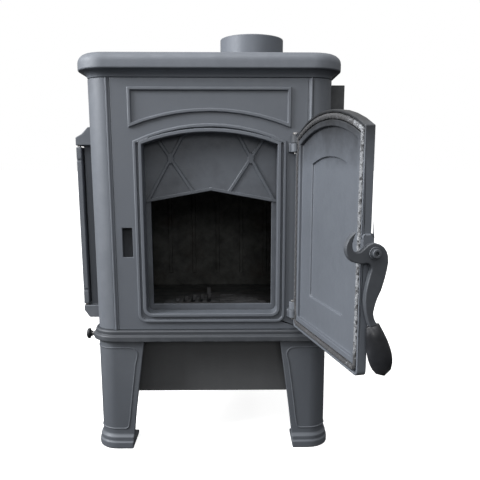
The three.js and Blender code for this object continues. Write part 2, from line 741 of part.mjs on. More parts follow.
// The round grate: a disc on the base plate's ledge, with slots in four quarters, a raised tab to
// turn it by from above, and a pin below for the riddling rod.
function grate() {
  const [low, top] = [BODY_LOW + GAP, BODY_LOW + GAP + GRATE_THICKNESS];
  const disc = post(GRATE_RADIUS, 0, GRATE_Y, low, top, 40);
  const tools = [];
  const pitch = (GRATE_RADIUS - 24) / SLOT_BARS;
  for (let quarterTurn = 0; quarterTurn < 4; quarterTurn++) {
    for (let i = 0; i < SLOT_BARS; i++) {
      const offset = 14 + pitch * i;
      const reach = Math.sqrt((GRATE_RADIUS - 10) ** 2 - (offset + pitch / 2) ** 2) - 9;
      if (reach < pitch) continue;
      const geometry = new THREE.BoxGeometry(reach, pitch * 0.5, GRATE_THICKNESS + 2);
      geometry.translate(9 + reach / 2, offset, 0).rotateZ(quarterTurn * (Math.PI / 2));
      tools.push(solid(geometry.translate(0, GRATE_Y, (low + top) / 2)));
    }
  }
  const tab = block([-20, -12], [GRATE_Y + GRATE_RADIUS - 16, GRATE_Y + GRATE_RADIUS - 9], [top - 1, top + 14]);
  const pinFoot = ROD_Z - ROD_THICKNESS;
  const pin = post(PIN_RADIUS, 0, GRATE_Y - RIDDLE_ARM, pinFoot, low + 1, 16);
  return join(cut(disc, ...tools), tab, pin);
}

function riddlingRod() {
  const y = GRATE_Y - RIDDLE_ARM;
  const slide = [ROD_Z - ROD_THICKNESS / 2, ROD_Z + ROD_THICKNESS / 2];
  const flat = block([KNOB_X - KNOB_LENGTH / 2, 0], [y - ROD_WIDTH / 2, y + ROD_WIDTH / 2], slide);
  const half = PIN_RADIUS + 1.6;
  const eye = slab(rectangle(-half - 7, half + 7, y - 18, y + 18, 8), ...slide);
  const slot = slab(rectangle(-half, half, y - 12, y + 12), slide[0] - 1, slide[1] + 1);
  const tang = block([KNOB_X - KNOB_LENGTH, KNOB_X], [y - 20, y + 20], [ROD_Z - 20, ROD_Z + 20]);
  return cut(join(cut(flat, tang), bar(2.5, y, ROD_Z, KNOB_X - 7, KNOB_X + 1, 12), eye), slot);
}

function riddlingKnob() {
  const y = GRATE_Y - RIDDLE_ARM;
  const profile = [
    [0, 0],
    [KNOB_RADIUS * 0.55, 0],
    [KNOB_RADIUS * 0.6, KNOB_LENGTH * 0.3],
    [KNOB_RADIUS, KNOB_LENGTH * 0.4],
    [KNOB_RADIUS, KNOB_LENGTH * 0.8],
    [KNOB_RADIUS * 0.75, KNOB_LENGTH],
    [0, KNOB_LENGTH],
  ].map(([r, h]) => new THREE.Vector2(r, h));
  const body = solid(
    new THREE.LatheGeometry(profile, 20).rotateZ(Math.PI / 2).translate(KNOB_X - GAP, y, ROD_Z),
  );
  return cut(body, bar(2.5 + PIN_CLEARANCE, y, ROD_Z, KNOB_X - 8, KNOB_X + 1, 12));
}

// Height of the side liners' sloping top edge.
const linerTop = (y) =>
  LINER_TOP_FRONT +
  ((LINER_TOP_REAR - LINER_TOP_FRONT) * (y - LINER_FRONT)) / (LINER_REAR - LINER_FRONT);

const LINER_LOW = BODY_LOW + 2 * GAP + HEARTH_THICKNESS;

function sideLiner(x0, x1, hole) {
  const rear = LINER_REAR - GAP;
  const outline = polygon([
    [LINER_FRONT, LINER_LOW],
    [rear, LINER_LOW],
    [rear, linerTop(rear)],
    [LINER_FRONT, LINER_TOP_FRONT],
  ]);
  return panelYZ(hole ? ring(outline, hole) : outline, x0, x1);
}

function rearLiner() {
  const half = LINER_HALF + LINER_THICKNESS;
  const top = linerTop(LINER_REAR + LINER_THICKNESS);
  const plate = block([-half, half], [LINER_REAR, LINER_REAR + LINER_THICKNESS], [LINER_LOW, top]);
  const ribs = [-2, -1, 0, 1, 2].map((i) =>
    block([i * 55 - 4, i * 55 + 4], [LINER_REAR - 4, LINER_REAR + 1], [LINER_LOW + 30, top - 70]),
  );
  return join(plate, ...ribs);
}

function bafflePlate() {
  const half = LINER_HALF + LINER_THICKNESS;
  const rear = LINER_REAR + LINER_THICKNESS;
  const under = (y) => linerTop(y) + GAP;
  const outline = polygon([
    [BAFFLE_FRONT, under(BAFFLE_FRONT)],
    [rear, under(rear)],
    [rear, under(rear) + BAFFLE_THICKNESS],
    [BAFFLE_FRONT, under(BAFFLE_FRONT) + BAFFLE_THICKNESS],
  ]);
  return panelYZ(outline, -half, half);
}

// ---------- Under the base plate ----------

function ashBox() {
  const { half, front, rear, low } = ASH_BOX;
  const top = LEG_HEIGHT - GAP;
  const shell = block([-half, half], [front, rear], [low, top]);
  const inside = block(
    [-half + ASH_SHEET, half - ASH_SHEET],
    [front + ASH_SHEET, rear - ASH_SHEET],
    [low + ASH_SHEET, top + 1],
  );
  const window = block(
    [-half - 1, 0],
    [ASH_PAN.front - 2, ASH_PAN.rear + 2],
    [low + ASH_SHEET, top + 1],
  );
  const flange = (y0, y1) => block([-half, half], [y0, y1], [top - ASH_SHEET, top]);
  const flangeWidth = Math.min(ASH_FLANGE, front);
  return join(
    cut(shell, inside, window),
    flange(front - flangeWidth, front + 1),
    flange(rear - 1, rear + flangeWidth),
  );
}

function ashPan() {
  const { front, rear, low, top, left, right } = ASH_PAN;
  const inside = block(
    [left + PAN_SHEET, right - PAN_SHEET],
    [front + PAN_SHEET, rear - PAN_SHEET],
    [low + PAN_SHEET, top + 1],
  );
  return cut(block([left, right], [front, rear], [low, top]), inside);
}

// A bent wire pull on the end of the ash pan.
function ashPanHandle() {
  const { span, reach, radius, height } = PAN_HANDLE;
  const middle = (ASH_PAN.front + ASH_PAN.rear) / 2;
  const near = ASH_PAN.left - GAP;
  const far = near - reach;
  const path = new THREE.CurvePath();
  const at = (x, y) => new THREE.Vector3(x, middle + y, height);
  const bend = radius * 3;
  path.add(new THREE.LineCurve3(at(near, -span / 2), at(far + bend, -span / 2)));
  path.add(
    new THREE.QuadraticBezierCurve3(at(far + bend, -span / 2), at(far, -span / 2), at(far, bend - span / 2)),
  );
  path.add(new THREE.LineCurve3(at(far, bend - span / 2), at(far, span / 2 - bend)));
  path.add(
    new THREE.QuadraticBezierCurve3(at(far, span / 2 - bend), at(far, span / 2), at(far + bend, span / 2)),
  );
  path.add(new THREE.LineCurve3(at(far + bend, span / 2), at(near, span / 2)));
  const section = new THREE.Shape().absarc(0, 0, radius, 0, 2 * Math.PI);
  return solid(
    new THREE.ExtrudeGeometry(section, { steps: 24, extrudePath: path, curveSegments: 4 }),
  );
}

// ---------- Flue collar, heat shield ----------

function flueCollar() {
  const low = LID_TOP + GAP;
  const profile = [
    [FLUE_BORE, 0],
    [FLUE_FLANGE_RADIUS, 0],
    [FLUE_FLANGE_RADIUS, FLUE_FLANGE - 2],
    [FLUE_FLANGE_RADIUS - 2, FLUE_FLANGE],
    [FLUE_RADIUS + 2, FLUE_FLANGE],
    [FLUE_RADIUS, FLUE_FLANGE + 2],
    [FLUE_RADIUS, FLUE_HEIGHT - 1],
    [FLUE_RADIUS - 1, FLUE_HEIGHT],
    [FLUE_BORE, FLUE_HEIGHT],
    [FLUE_BORE, 0],
  ].map(([r, h]) => new THREE.Vector2(r, h));
  const lathe = new THREE.LatheGeometry(profile, 48);
  const body = solid(lathe.rotateX(Math.PI / 2).translate(FLUE_X, FLUE_Y, low));
  const holes = flueBoltPlaces.map(([x, y]) => post(ROD_HOLE, x, y, low - 1, low + FLUE_FLANGE + 1));
  return cut(body, ...holes);
}

function flueBolt([x, y]) {
  const seat = LID_TOP + 2 * GAP + FLUE_FLANGE;
  return join(
    post(TIE_ROD_RADIUS * 1.9, x, y, seat, seat + 6, 6),
    post(TIE_ROD_RADIUS, x, y, LID_POCKET_TOP, seat + 1, 12),
  );
}

// One sheet folded round the right side and the back, with a short return at each end.
function heatShield() {
  const { right, rear, front, left, inner, low, top } = SHIELD;
  const t = SHIELD_THICKNESS;
  const outline = polygon([
    [inner, front],
    [right, front],
    [right, rear],
    [left, rear],
    [left, rear - 18],
    [left + t, rear - 18],
    [left + t, rear - t],
    [right - t, rear - t],
    [right - t, front + t],
    [inner, front + t],
  ]);
  return slab(outline, low, top);
}

// ---------- Hook latch, used by both doors ----------

// The lever in its own frame: the pivot at the origin, outwards along +X, up along +Y. The hook
// is drawn from the outer face of the metal that it catches.
function leverOutline() {
  const face = -LATCH_STANDOFF;
  const shape = new THREE.Shape().moveTo(face - 3.6, 27);
  shape.quadraticCurveTo(face - 14.5, 22, face - 17.2, 9);
  shape.quadraticCurveTo(face - 18, -4.5, face - 7, -10.5);
  shape.quadraticCurveTo(face + 1.5, -14, -10.9, -12.5);
  shape.quadraticCurveTo(-3.9, -12.5, -3.4, -21);
  shape.quadraticCurveTo(-10, -42, -10.6, -59);
  shape.quadraticCurveTo(-10, -78, -2.3, -95);
  shape.lineTo(7.9, -92);
  shape.quadraticCurveTo(1.3, -83, 1.9, -75);
  shape.quadraticCurveTo(4.2, -60, 11, -48);
  shape.quadraticCurveTo(17.6, -27, 19.2, -12);
  shape.quadraticCurveTo(19.5, 9, 0, 13);
  shape.quadraticCurveTo(-7.5, 12.5, -11.5, 8);
  shape.lineTo(-17.5, 3);
  shape.quadraticCurveTo(face - 0.8, 0, face - 6.2, 3);
  shape.quadraticCurveTo(face - 12, 11, face - 3.6, 27);
  return shape.closePath();
}

// The flattened egg of the grip, hanging from the lever's foot and leaning outwards.
function gripSolid() {
  const steps = 10;
  const neck = 0.56; // width at the neck, as a share of the widest
  const profile = [new THREE.Vector2(0, 0)];
  for (let i = 0; i <= steps; i++) {
    const t = i / steps;
    const swell = neck + (1 - neck) * Math.sin(Math.min(t / 0.6, 1) * (Math.PI / 2));
    const close = t < 0.6 ? 1 : Math.sqrt(Math.max(1 - ((t - 0.6) / 0.4) ** 2, 0));
    profile.push(new THREE.Vector2((GRIP_WIDTH / 2) * swell * close, -GRIP_LENGTH * t));
  }
  const geometry = new THREE.LatheGeometry(profile.reverse(), 20);
  geometry.scale(1, 1, GRIP_THICKNESS / GRIP_WIDTH);
  geometry.rotateZ(radians(GRIP_LEAN));
  return solid(geometry.translate(2.9, -93.6 - GAP, 0));
}

// A cap screw along the lever's Z axis, with its washer outside the lever.
function latchBolt() {
  const outer = LEVER_THICKNESS / 2 + GAP;
  const along = (radius, z0, z1, sides = 20) => post(radius, 0, 0, z0, z1, sides);
  const shankEnd = -LEVER_THICKNESS / 2 - LEVER_PAD - 14;
  const body = join(
    along(BOLT_RADIUS * 2, outer, outer + 2, 24),
    along(BOLT_RADIUS * 1.4, outer + 1, outer + 7),
    along(BOLT_RADIUS, shankEnd, outer + 1, 16),
  );
  return cut(body, along(BOLT_RADIUS * 0.7, outer + 3.5, outer + 8, 6));
}

// Adds a latch's lever and grip to `frame`, whose Z axis is the lever's pivot, and its bolt.
function addLatch(frame, prefix) {
  const pivotHole = post(BOLT_RADIUS + PIN_CLEARANCE, 0, 0, -LEVER_THICKNESS, LEVER_THICKNESS);
  const lever = slab(leverOutline(), -LEVER_THICKNESS / 2, LEVER_THICKNESS / 2);
  place(`${prefix}_latch_lever`, cut(lever, pivotHole), "cast", frame);
  place(`${prefix}_latch_grip`, gripSolid(), "grip", frame);
  place(`${prefix}_latch_bolt`, latchBolt(), "steel", frame);
}

// The boss that carries a latch's bolt, in a door's closed frame: outwards is -Y and the door's
// free edge is towards -X. `face` is the door's outer face and `edge` its free edge.
function latchBoss(edge, inner, face, pivotY) {
  const outer = pivotY - LATCH_PROUD;
  const low = LATCH_HEIGHT - 15;
  const top = LATCH_HEIGHT + 22.5;
  const barrel = LATCH_BARREL;
  const pad = panelYZ(rectangle(outer, inner, low, top, 4), edge - LEVER_PAD, edge + 3);
  const body = panelYZ(rectangle(outer, face + 3, low, top, 1), edge, edge + 32);
  const round = bar(barrel, pivotY, LATCH_HEIGHT, edge - LEVER_PAD, edge + 24, 24);
  const hole = bar(BOLT_RADIUS + PIN_CLEARANCE, pivotY, LATCH_HEIGHT, edge - LEVER_PAD - 1, edge + 14);
  return [join(pad, body, round), hole];
}

// ---------- Front door ----------

// The door's outline ring that the rope lies in, `clear` wider than the rope on each side.
const doorRopeRing = (clear) =>
  ring(
    archOutline(DOOR, -ROPE_INSET + clear),
    archOutline(DOOR, -ROPE_INSET - ROPE_WIDTH - clear),
  );

function frontDoor() {
  const plate = panelXZ(archOutline(DOOR), DOOR_OUTER_Y, DOOR_INNER_Y);
  const recess = panelXZ(archOutline(DOOR, -DOOR_FLANGE), DOOR_INNER_Y - DOOR_RECESS, 0);
  const panel = panelXZ(
    archOutline(DOOR_PANEL),
    DOOR_INNER_Y - DOOR_RECESS - PANEL_RECESS,
    0,
  );
  const outerFrame = ring(archOutline(DOOR, -12), archOutline(DOOR, -18));
  const outerPanel = archOutline(DOOR_PANEL, 6);
  const [boss, bossHole] = latchBoss(
    -DOOR.half,
    DOOR_INNER_Y - 1,
    DOOR_OUTER_Y,
    -LATCH_STANDOFF,
  );
  const knuckles = Object.values(HINGE_LUGS).map((low) => {
    const foot = low + HINGE_LUG_HEIGHT + GAP;
    const arm = block(
      [DOOR.half - 12, HINGE_X],
      [DOOR_OUTER_Y + 2, DOOR_INNER_Y - 0.5],
      [foot, foot + KNUCKLE_HEIGHT],
    );
    return join(post(HINGE_LUG_RADIUS, HINGE_X, HINGE_Y, foot, foot + KNUCKLE_HEIGHT), arm);
  });
  const lugRooms = Object.values(HINGE_LUGS).map((low) =>
    post(16, HINGE_X, HINGE_Y, low - 1.5, low + HINGE_LUG_HEIGHT + GAP, 24),
  );
  const pinHoles = Object.values(HINGE_LUGS).map((low) => {
    const foot = low + HINGE_LUG_HEIGHT;
    return post(PIN_RADIUS + PIN_CLEARANCE, HINGE_X, HINGE_Y, foot, foot + KNUCKLE_HEIGHT + 2);
  });
  return cut(
    join(
      cut(plate, recess, panel, ...lugRooms),
      panelXZ(outerFrame, DOOR_OUTER_Y - 2, DOOR_OUTER_Y + 1),
      panelXZ(outerPanel, DOOR_OUTER_Y - 1.5, DOOR_OUTER_Y + 1),
      boss,
      ...knuckles,
    ),
    panelXZ(doorRopeRing(ROPE_CLEARANCE), DOOR_INNER_Y - ROPE_DEPTH, 0),
    bossHole,
    ...lugRooms,
    ...pinHoles,
  );
}

function frontDoorRope() {
  const rope = panelXZ(
    doorRopeRing(0),
    DOOR_INNER_Y - ROPE_DEPTH + ROPE_CLEARANCE,
    DOOR_INNER_Y + ROPE_PROUD,
  );
  const lugRooms = Object.values(HINGE_LUGS).map((low) =>
    post(17, HINGE_X, HINGE_Y, low - 2.5, low + HINGE_LUG_HEIGHT + GAP + 1, 24),
  );
  return cut(rope, ...lugRooms);
}

function frontHingePin(low) {
  const top = low + HINGE_LUG_HEIGHT + GAP + KNUCKLE_HEIGHT;
  return join(
    post(PIN_RADIUS, HINGE_X, HINGE_Y, low - 3, top + 1, 16),
    post(PIN_RADIUS * 1.7, HINGE_X, HINGE_Y, top + GAP, top + 3, 16),
  );
}

// ---------- Loading door, on the left side ----------

const LOAD_LATCH_Y = LOAD_DOOR.rear + LEVER_PAD + GAP + LEVER_THICKNESS / 2;

// Turns a solid drawn in a frame that faces -Y into one that faces -X: (x, y) goes to (y, -x).
function facingLeft(made) {
  const geometry = geometryOf(made).rotateZ(-Math.PI / 2);
  return solid(geometry);
}

function sideDoorSurround() {
  const { front, rear, lips, low, sill, head, top } = SURROUND;
  const x0 = -HALF_WIDTH - GAP;
  const plateX = SURROUND_FACE_X + SURROUND_PLATE;
  const face = ring(rectangle(front, rear, sill - 1, head + 1), loadOpening());
  const shoulder = (head + top) / 2;
  const headRail = polygon([
    [x0, head],
    [x0, top],
    [x0 - 8, top],
    [SURROUND_FACE_X, shoulder + 4],
    [SURROUND_LIP_X, shoulder - 2],
    [SURROUND_LIP_X, head],
  ]);
  const sillRail = polygon([
    [x0, low],
    [x0, sill],
    [SURROUND_LIP_X, sill],
    [SURROUND_LIP_X, sill - 9],
    [SURROUND_LIP_X + 9, low],
  ]);
  const skirt = (y0, y1) => block([SURROUND_FACE_X, x0], [y0, y1], [sill - 1, head + 1]);
  const loadRear = LOAD_OPENING.rear;
  const slot = latchCuts(-LOAD_LATCH_Y, SURROUND_FACE_X, plateX + 6);
  const pinHole = (z0, z1) => post(PIN_RADIUS + PIN_CLEARANCE, LOAD_HINGE_X, LOAD_HINGE_Y, z0, z1);
  return cut(
    join(
      panelYZ(face, SURROUND_FACE_X, plateX),
      panelXZ(headRail, lips, rear),
      panelXZ(sillRail, lips, rear),
      skirt(front, front + SURROUND_PLATE),
      skirt(loadRear, loadRear + SURROUND_PLATE),
    ),
    facingLeft(slot),
    pinHole(sill - SIDE_PIN_SEAT, sill + 1),
    pinHole(head - 1, top + 1),
  );
}

const loadRopeRing = (clear) => {
  const inset = 15;
  const { front, rear, low, top } = LOAD_DOOR;
  const edge = (d) => rectangle(front + 8 + d, rear - d, low + d - 7, top - d + 7, 12);
  return ring(edge(inset - clear), edge(inset + ROPE_WIDTH + clear));
};

function sideDoor() {
  const { front, rear, low, top } = LOAD_DOOR;
  const plate = panelYZ(rectangle(front, rear, low, top, 2), LOAD_OUTER_X, LOAD_INNER_X);
  const bead = ring(
    rectangle(front + 24, rear - 34, low + 20, top - 20, 12),
    rectangle(front + 29, rear - 39, low + 25, top - 25, 7),
  );
  const [boss, bossHole] = latchBoss(
    -rear,
    LOAD_INNER_X,
    LOAD_OUTER_X,
    SURROUND_FACE_X - LATCH_STANDOFF,
  );
  const knuckleGap = (z) => block([LOAD_OUTER_X - 1, LOAD_INNER_X + 1], [front - 1, front + 1.5], [z, z + 4]);
  const pinHoles = [
    post(PIN_RADIUS + PIN_CLEARANCE, LOAD_HINGE_X, LOAD_HINGE_Y, low - 1, low + SIDE_PIN_DEPTH),
    post(PIN_RADIUS + PIN_CLEARANCE, LOAD_HINGE_X, LOAD_HINGE_Y, top - SIDE_PIN_DEPTH, top + 1),
  ];
  return cut(
    join(plate, panelYZ(bead, LOAD_OUTER_X - 2, LOAD_OUTER_X + 1), facingLeft(boss)),
    panelYZ(loadRopeRing(ROPE_CLEARANCE), LOAD_INNER_X - 4, LOAD_INNER_X + 1),
    facingLeft(bossHole),
    knuckleGap(low + 24),
    knuckleGap(top - 24),
    ...pinHoles,
  );
}

const sideDoorRope = () =>
  panelYZ(loadRopeRing(0), LOAD_INNER_X - 4 + ROPE_CLEARANCE, SURROUND_FACE_X - 2 * GAP);

// A plain pin between a lip of the surround and the door's edge.
const sideHingePin = (z0, z1) => post(PIN_RADIUS, LOAD_HINGE_X, LOAD_HINGE_Y, z0, z1, 16);

// ---------- Assembly ----------

place("top_plate", topPlate());
place("base_plate", basePlate());
place("front_plate", frontPlate());
place("back_plate", backPlate());
place("left_side_plate", sidePlate(-HALF_WIDTH, -HALF_WIDTH + WALL, loadOpening()));
place("right_side_plate", rightSidePlate());
eachCorner((frame, corner) => {
  place(`${corner}_post`, cornerPost(), "cast", frame);
  place(`${corner}_leg`, leg(), "cast", frame);
  place(`${corner}_tie_rod`, tieRod(), "steel", frame);
});

place("flue_collar", flueCollar());
flueBoltPlaces.forEach((at, i) => place(`flue_bolt_${i + 1}`, flueBolt(at), "steel"));

place("heat_shield", heatShield(), "sheet");
for (const [levelName, z] of [["lower", BODY_LOW + 75], ["upper", BODY_TOP - 75]]) {
  const near = HALF_WIDTH + GAP;
  const side = bar(SPACER_RADIUS, HALF_DEPTH, z, near, SHIELD.right - SHIELD_THICKNESS - GAP);
  const rear = barY(SPACER_RADIUS, 0, z, BODY_DEPTH + GAP, SHIELD.rear - SHIELD_THICKNESS - GAP);
  place(`${levelName}_side_shield_spacer`, side, "steel");
  place(`${levelName}_rear_shield_spacer`, rear, "steel");
}

place("fire_frame", fireFrame());
place("hearth_plate", hearthPlate(), "sooted");
place("left_liner", sideLiner(-LINER_HALF - LINER_THICKNESS, -LINER_HALF, loadOpening()), "liner");
place("right_liner", sideLiner(LINER_HALF, LINER_HALF + LINER_THICKNESS), "liner");
place("rear_liner", rearLiner(), "liner");
place("baffle_plate", bafflePlate(), "liner");
place("grate", grate(), "sooted");
place("riddling_rod", riddlingRod(), "steel");
place("riddling_knob", riddlingKnob(), "grip");

place("ash_box", ashBox(), "sheet");
place("ash_pan", ashPan(), "sheet");
place("ash_pan_handle", ashPanHandle(), "steel");

// The door is drawn closed, in a frame on its hinge axis, and swung open with that frame.
const frontDoorFrame = new THREE.Group();
frontDoorFrame.position.set(HINGE_X, HINGE_Y, 0);
frontDoorFrame.rotation.z = radians(OPEN_ANGLE);
stove.add(frontDoorFrame);
const closedFrame = new THREE.Group();
closedFrame.position.set(-HINGE_X, -HINGE_Y, 0);
frontDoorFrame.add(closedFrame);
place("front_door", frontDoor(), "cast", closedFrame);
place("front_door_rope", frontDoorRope(), "rope", closedFrame);
place("front_upper_hinge_pin", frontHingePin(HINGE_LUGS.upper), "steel");
place("front_lower_hinge_pin", frontHingePin(HINGE_LUGS.lower), "steel");

// A latch frame: its X axis points out of the door, its Y axis up, its Z axis along the pivot
// and away from the door's free edge.
const frontLatchFrame = new THREE.Group();
frontLatchFrame.matrixAutoUpdate = false;
frontLatchFrame.matrix.makeBasis(
  new THREE.Vector3(0, -1, 0),
  new THREE.Vector3(0, 0, 1),
  new THREE.Vector3(-1, 0, 0),
);
frontLatchFrame.matrix.setPosition(LATCH_X, -LATCH_STANDOFF, LATCH_HEIGHT);
closedFrame.add(frontLatchFrame);
addLatch(frontLatchFrame, "front");

place("side_door_surround", sideDoorSurround());
place("side_door", sideDoor());
place("side_door_rope", sideDoorRope(), "rope");
const upperPin = sideHingePin(LOAD_DOOR.top - SIDE_PIN_DEPTH + GAP, SURROUND.head + 12);
const lowerPin = sideHingePin(SURROUND.sill - SIDE_PIN_SEAT + GAP, LOAD_DOOR.low + SIDE_PIN_DEPTH - 4);
place("side_upper_hinge_pin", upperPin, "steel");
place("side_lower_hinge_pin", lowerPin, "steel");

const sideLatchFrame = new THREE.Group();
sideLatchFrame.matrixAutoUpdate = false;
sideLatchFrame.matrix.makeBasis(
  new THREE.Vector3(-1, 0, 0),
  new THREE.Vector3(0, 0, 1),
  new THREE.Vector3(0, 1, 0),
);
sideLatchFrame.matrix.setPosition(SURROUND_FACE_X - LATCH_STANDOFF, LOAD_LATCH_Y, LATCH_HEIGHT);
stove.add(sideLatchFrame);
addLatch(sideLatchFrame, "side");

// The part's origin is the middle of its footprint, on the floor.
stove.updateMatrixWorld(true);
const bounds = new THREE.Box3().setFromObject(stove, true);
const middle = bounds.getCenter(new THREE.Vector3());
const part = new THREE.Group();
stove.position.set(-middle.x, -middle.y, -bounds.min.z);
part.add(stove);

export default part;
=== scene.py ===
# Looks for the wood burning stove: rounded castings, braided rope seals, embossed legs, procedural
# materials, soft light and the camera. The stove's own sizes are millimetres in its design frame
# (X = 0 at its centre, Y = 0 at its front plate), which place() turns into metres; the sizes of
# bevels, beads, ropes and threads, and everything of the stage, are metres in the shared frame.
import json
import math
import random

import bmesh
import bpy
from mathutils import Matrix, Vector


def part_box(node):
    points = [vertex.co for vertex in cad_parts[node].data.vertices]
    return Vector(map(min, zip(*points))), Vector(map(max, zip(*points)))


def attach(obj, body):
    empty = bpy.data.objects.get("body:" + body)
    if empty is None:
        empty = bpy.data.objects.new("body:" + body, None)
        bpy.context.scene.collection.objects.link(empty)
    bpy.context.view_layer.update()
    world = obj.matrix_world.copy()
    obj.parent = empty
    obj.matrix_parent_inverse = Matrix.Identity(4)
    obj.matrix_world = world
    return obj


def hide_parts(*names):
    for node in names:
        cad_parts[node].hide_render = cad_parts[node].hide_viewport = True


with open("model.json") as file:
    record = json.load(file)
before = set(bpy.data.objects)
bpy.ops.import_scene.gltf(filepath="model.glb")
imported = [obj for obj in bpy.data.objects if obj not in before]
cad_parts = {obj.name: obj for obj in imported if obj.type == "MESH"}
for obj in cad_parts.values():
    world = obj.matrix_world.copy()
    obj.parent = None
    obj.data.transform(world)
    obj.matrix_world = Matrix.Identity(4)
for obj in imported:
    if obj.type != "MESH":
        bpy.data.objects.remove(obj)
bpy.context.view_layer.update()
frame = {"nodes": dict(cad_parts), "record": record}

scene = bpy.context.scene
record = frame["record"]
BODY_OF = {n: b for b, nodes in record["behaviour"]["bodies"].items() for n in nodes}
JOINTS = {j["name"]: j for j in record["behaviour"]["joints"]}

# ---------- Places ----------

BODY_HALF = 205.0
BODY_DEPTH = 400.0
LEG_HEIGHT = 202.0
TOP_HALF = 220.0
TOP_OVERHANG = 15.0  # top plate beyond the front plate
DOOR_INNER_Y = -8.0  # inner face of the closed front door

top_low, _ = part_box("top_plate")
SHIFT = Vector((top_low.x + TOP_HALF / 1000, top_low.y + TOP_OVERHANG / 1000, 0.0))

hinge = JOINTS["front_door_hinge"]
HINGE = Vector((hinge["pos_m"][0], hinge["pos_m"][1], 0.0))
OPEN = math.radians(-hinge["range_deg"][0])
SWING = Matrix.Translation(HINGE) @ Matrix.Rotation(OPEN, 4, "Z") @ Matrix.Translation(-HINGE)
UNSWING = SWING.inverted()
# The closed door's way into the stove, turned with the open door.
INWARD = (SWING.to_3x3() @ Vector((0, 1, 0))).normalized()


def place(x, y, z):
    """A point of the design frame in the shared frame."""
    return Vector((x, y, z)) / 1000 + SHIFT


def on_door(x, y, z):
    """A point of the closed front door, where the open door carries it."""
    return SWING @ place(x, y, z)


# ---------- Materials ----------


class Nodes:
    """A short way to write a material's nodes."""

    def __init__(self, name):
        self.material = bpy.data.materials.new(name)
        self.material.use_nodes = True
        self.tree = self.material.node_tree
        self.shader = self.tree.nodes["Principled BSDF"]
        self.coord = self.add("ShaderNodeTexCoord").outputs["Object"]

    def add(self, kind, inputs=None, **settings):
        node = self.tree.nodes.new(kind)
        for key, value in settings.items():
            setattr(node, key, value)
        for key, value in (inputs or {}).items():
            self.feed(node.inputs[key], value)
        return node

    def feed(self, socket, value):
        if isinstance(value, bpy.types.NodeSocket):
            self.tree.links.new(value, socket)
        else:
            socket.default_value = value

    def noise(self, scale, detail=4.0, rough=0.55, stretch=None):
        vector = self.coord
        if stretch:
            stretched = {0: vector, 1: stretch}
            vector = self.add("ShaderNodeVectorMath", stretched, operation="MULTIPLY").outputs[0]
        inputs = {"Vector": vector, "Scale": scale, "Detail": detail, "Roughness": rough}
        return self.add("ShaderNodeTexNoise", inputs).outputs["Fac"]

    def remap(self, value, low, high, to_low=0.0, to_high=1.0):
        inputs = {"Value": value, "From Min": low, "From Max": high}
        inputs.update({"To Min": to_low, "To Max": to_high})
        return self.add("ShaderNodeMapRange", inputs).outputs["Result"]

    def mix(self, factor, a, b):
        node = self.add("ShaderNodeMix", data_type="RGBA")
        self.feed(node.inputs[0], factor)
        for index, value in ((6, a), (7, b)):
            self.feed(node.inputs[index], (*value, 1.0) if isinstance(value, tuple) else value)
        return node.outputs[2]

    def dot(self, direction):
        inputs = {0: self.coord, 1: direction}
        return self.add("ShaderNodeVectorMath", inputs, operation="DOT_PRODUCT").outputs["Value"]

    def math(self, operation, a, b):
        return self.add("ShaderNodeMath", {0: a, 1: b}, operation=operation).outputs[0]

    def edges(self, low=0.52, high=0.60):
        point = self.add("ShaderNodeNewGeometry").outputs["Pointiness"]
        return self.remap(point, low, high)

    def bump(self, *layers):
        normal = None
        for height, strength, distance in layers:
            inputs = {"Height": height, "Strength": strength, "Distance": distance}
            node = self.add("ShaderNodeBump", inputs)
            if normal is not None:
                self.feed(node.inputs["Normal"], normal)
            normal = node.outputs["Normal"]
        self.feed(self.shader.inputs["Normal"], normal)

    def finish(self, colour, roughness, metallic=0.0, specular=0.5):
        self.feed(self.shader.inputs["Base Color"], colour)
        self.feed(self.shader.inputs["Roughness"], roughness)
        self.shader.inputs["Metallic"].default_value = metallic
        self.shader.inputs["Specular IOR Level"].default_value = specular
        return self.material


def shade(colour, amount):
    return tuple(min(c * amount, 1.0) for c in colour)


WORN_AND_HIGHLIT_EDGE = (0.33, 0.35, 0.38)
NEAR_BLACK = (0.012, 0.012, 0.012)
SCALE_BROWN = (0.05, 0.032, 0.024)
ASH = (0.2, 0.195, 0.185)
ROPE_SOOT_AND_SHADE = ((0.022, 0.022, 0.024), (0.085, 0.086, 0.09))
ROPE_SILVER_AND_HIGHLIGHT = ((0.05, 0.052, 0.055), (0.52, 0.54, 0.57))
INNER_SKIN = (0.0145, 0.0125)  # how far behind the inner face the darkening fades out, and is whole
ARCH_DARK_HEIGHT = (0.500, 0.566)  # above the floor, where the darkening under the arch starts and where it is darkest
ARCH_DARK_RAGGED = 0.012


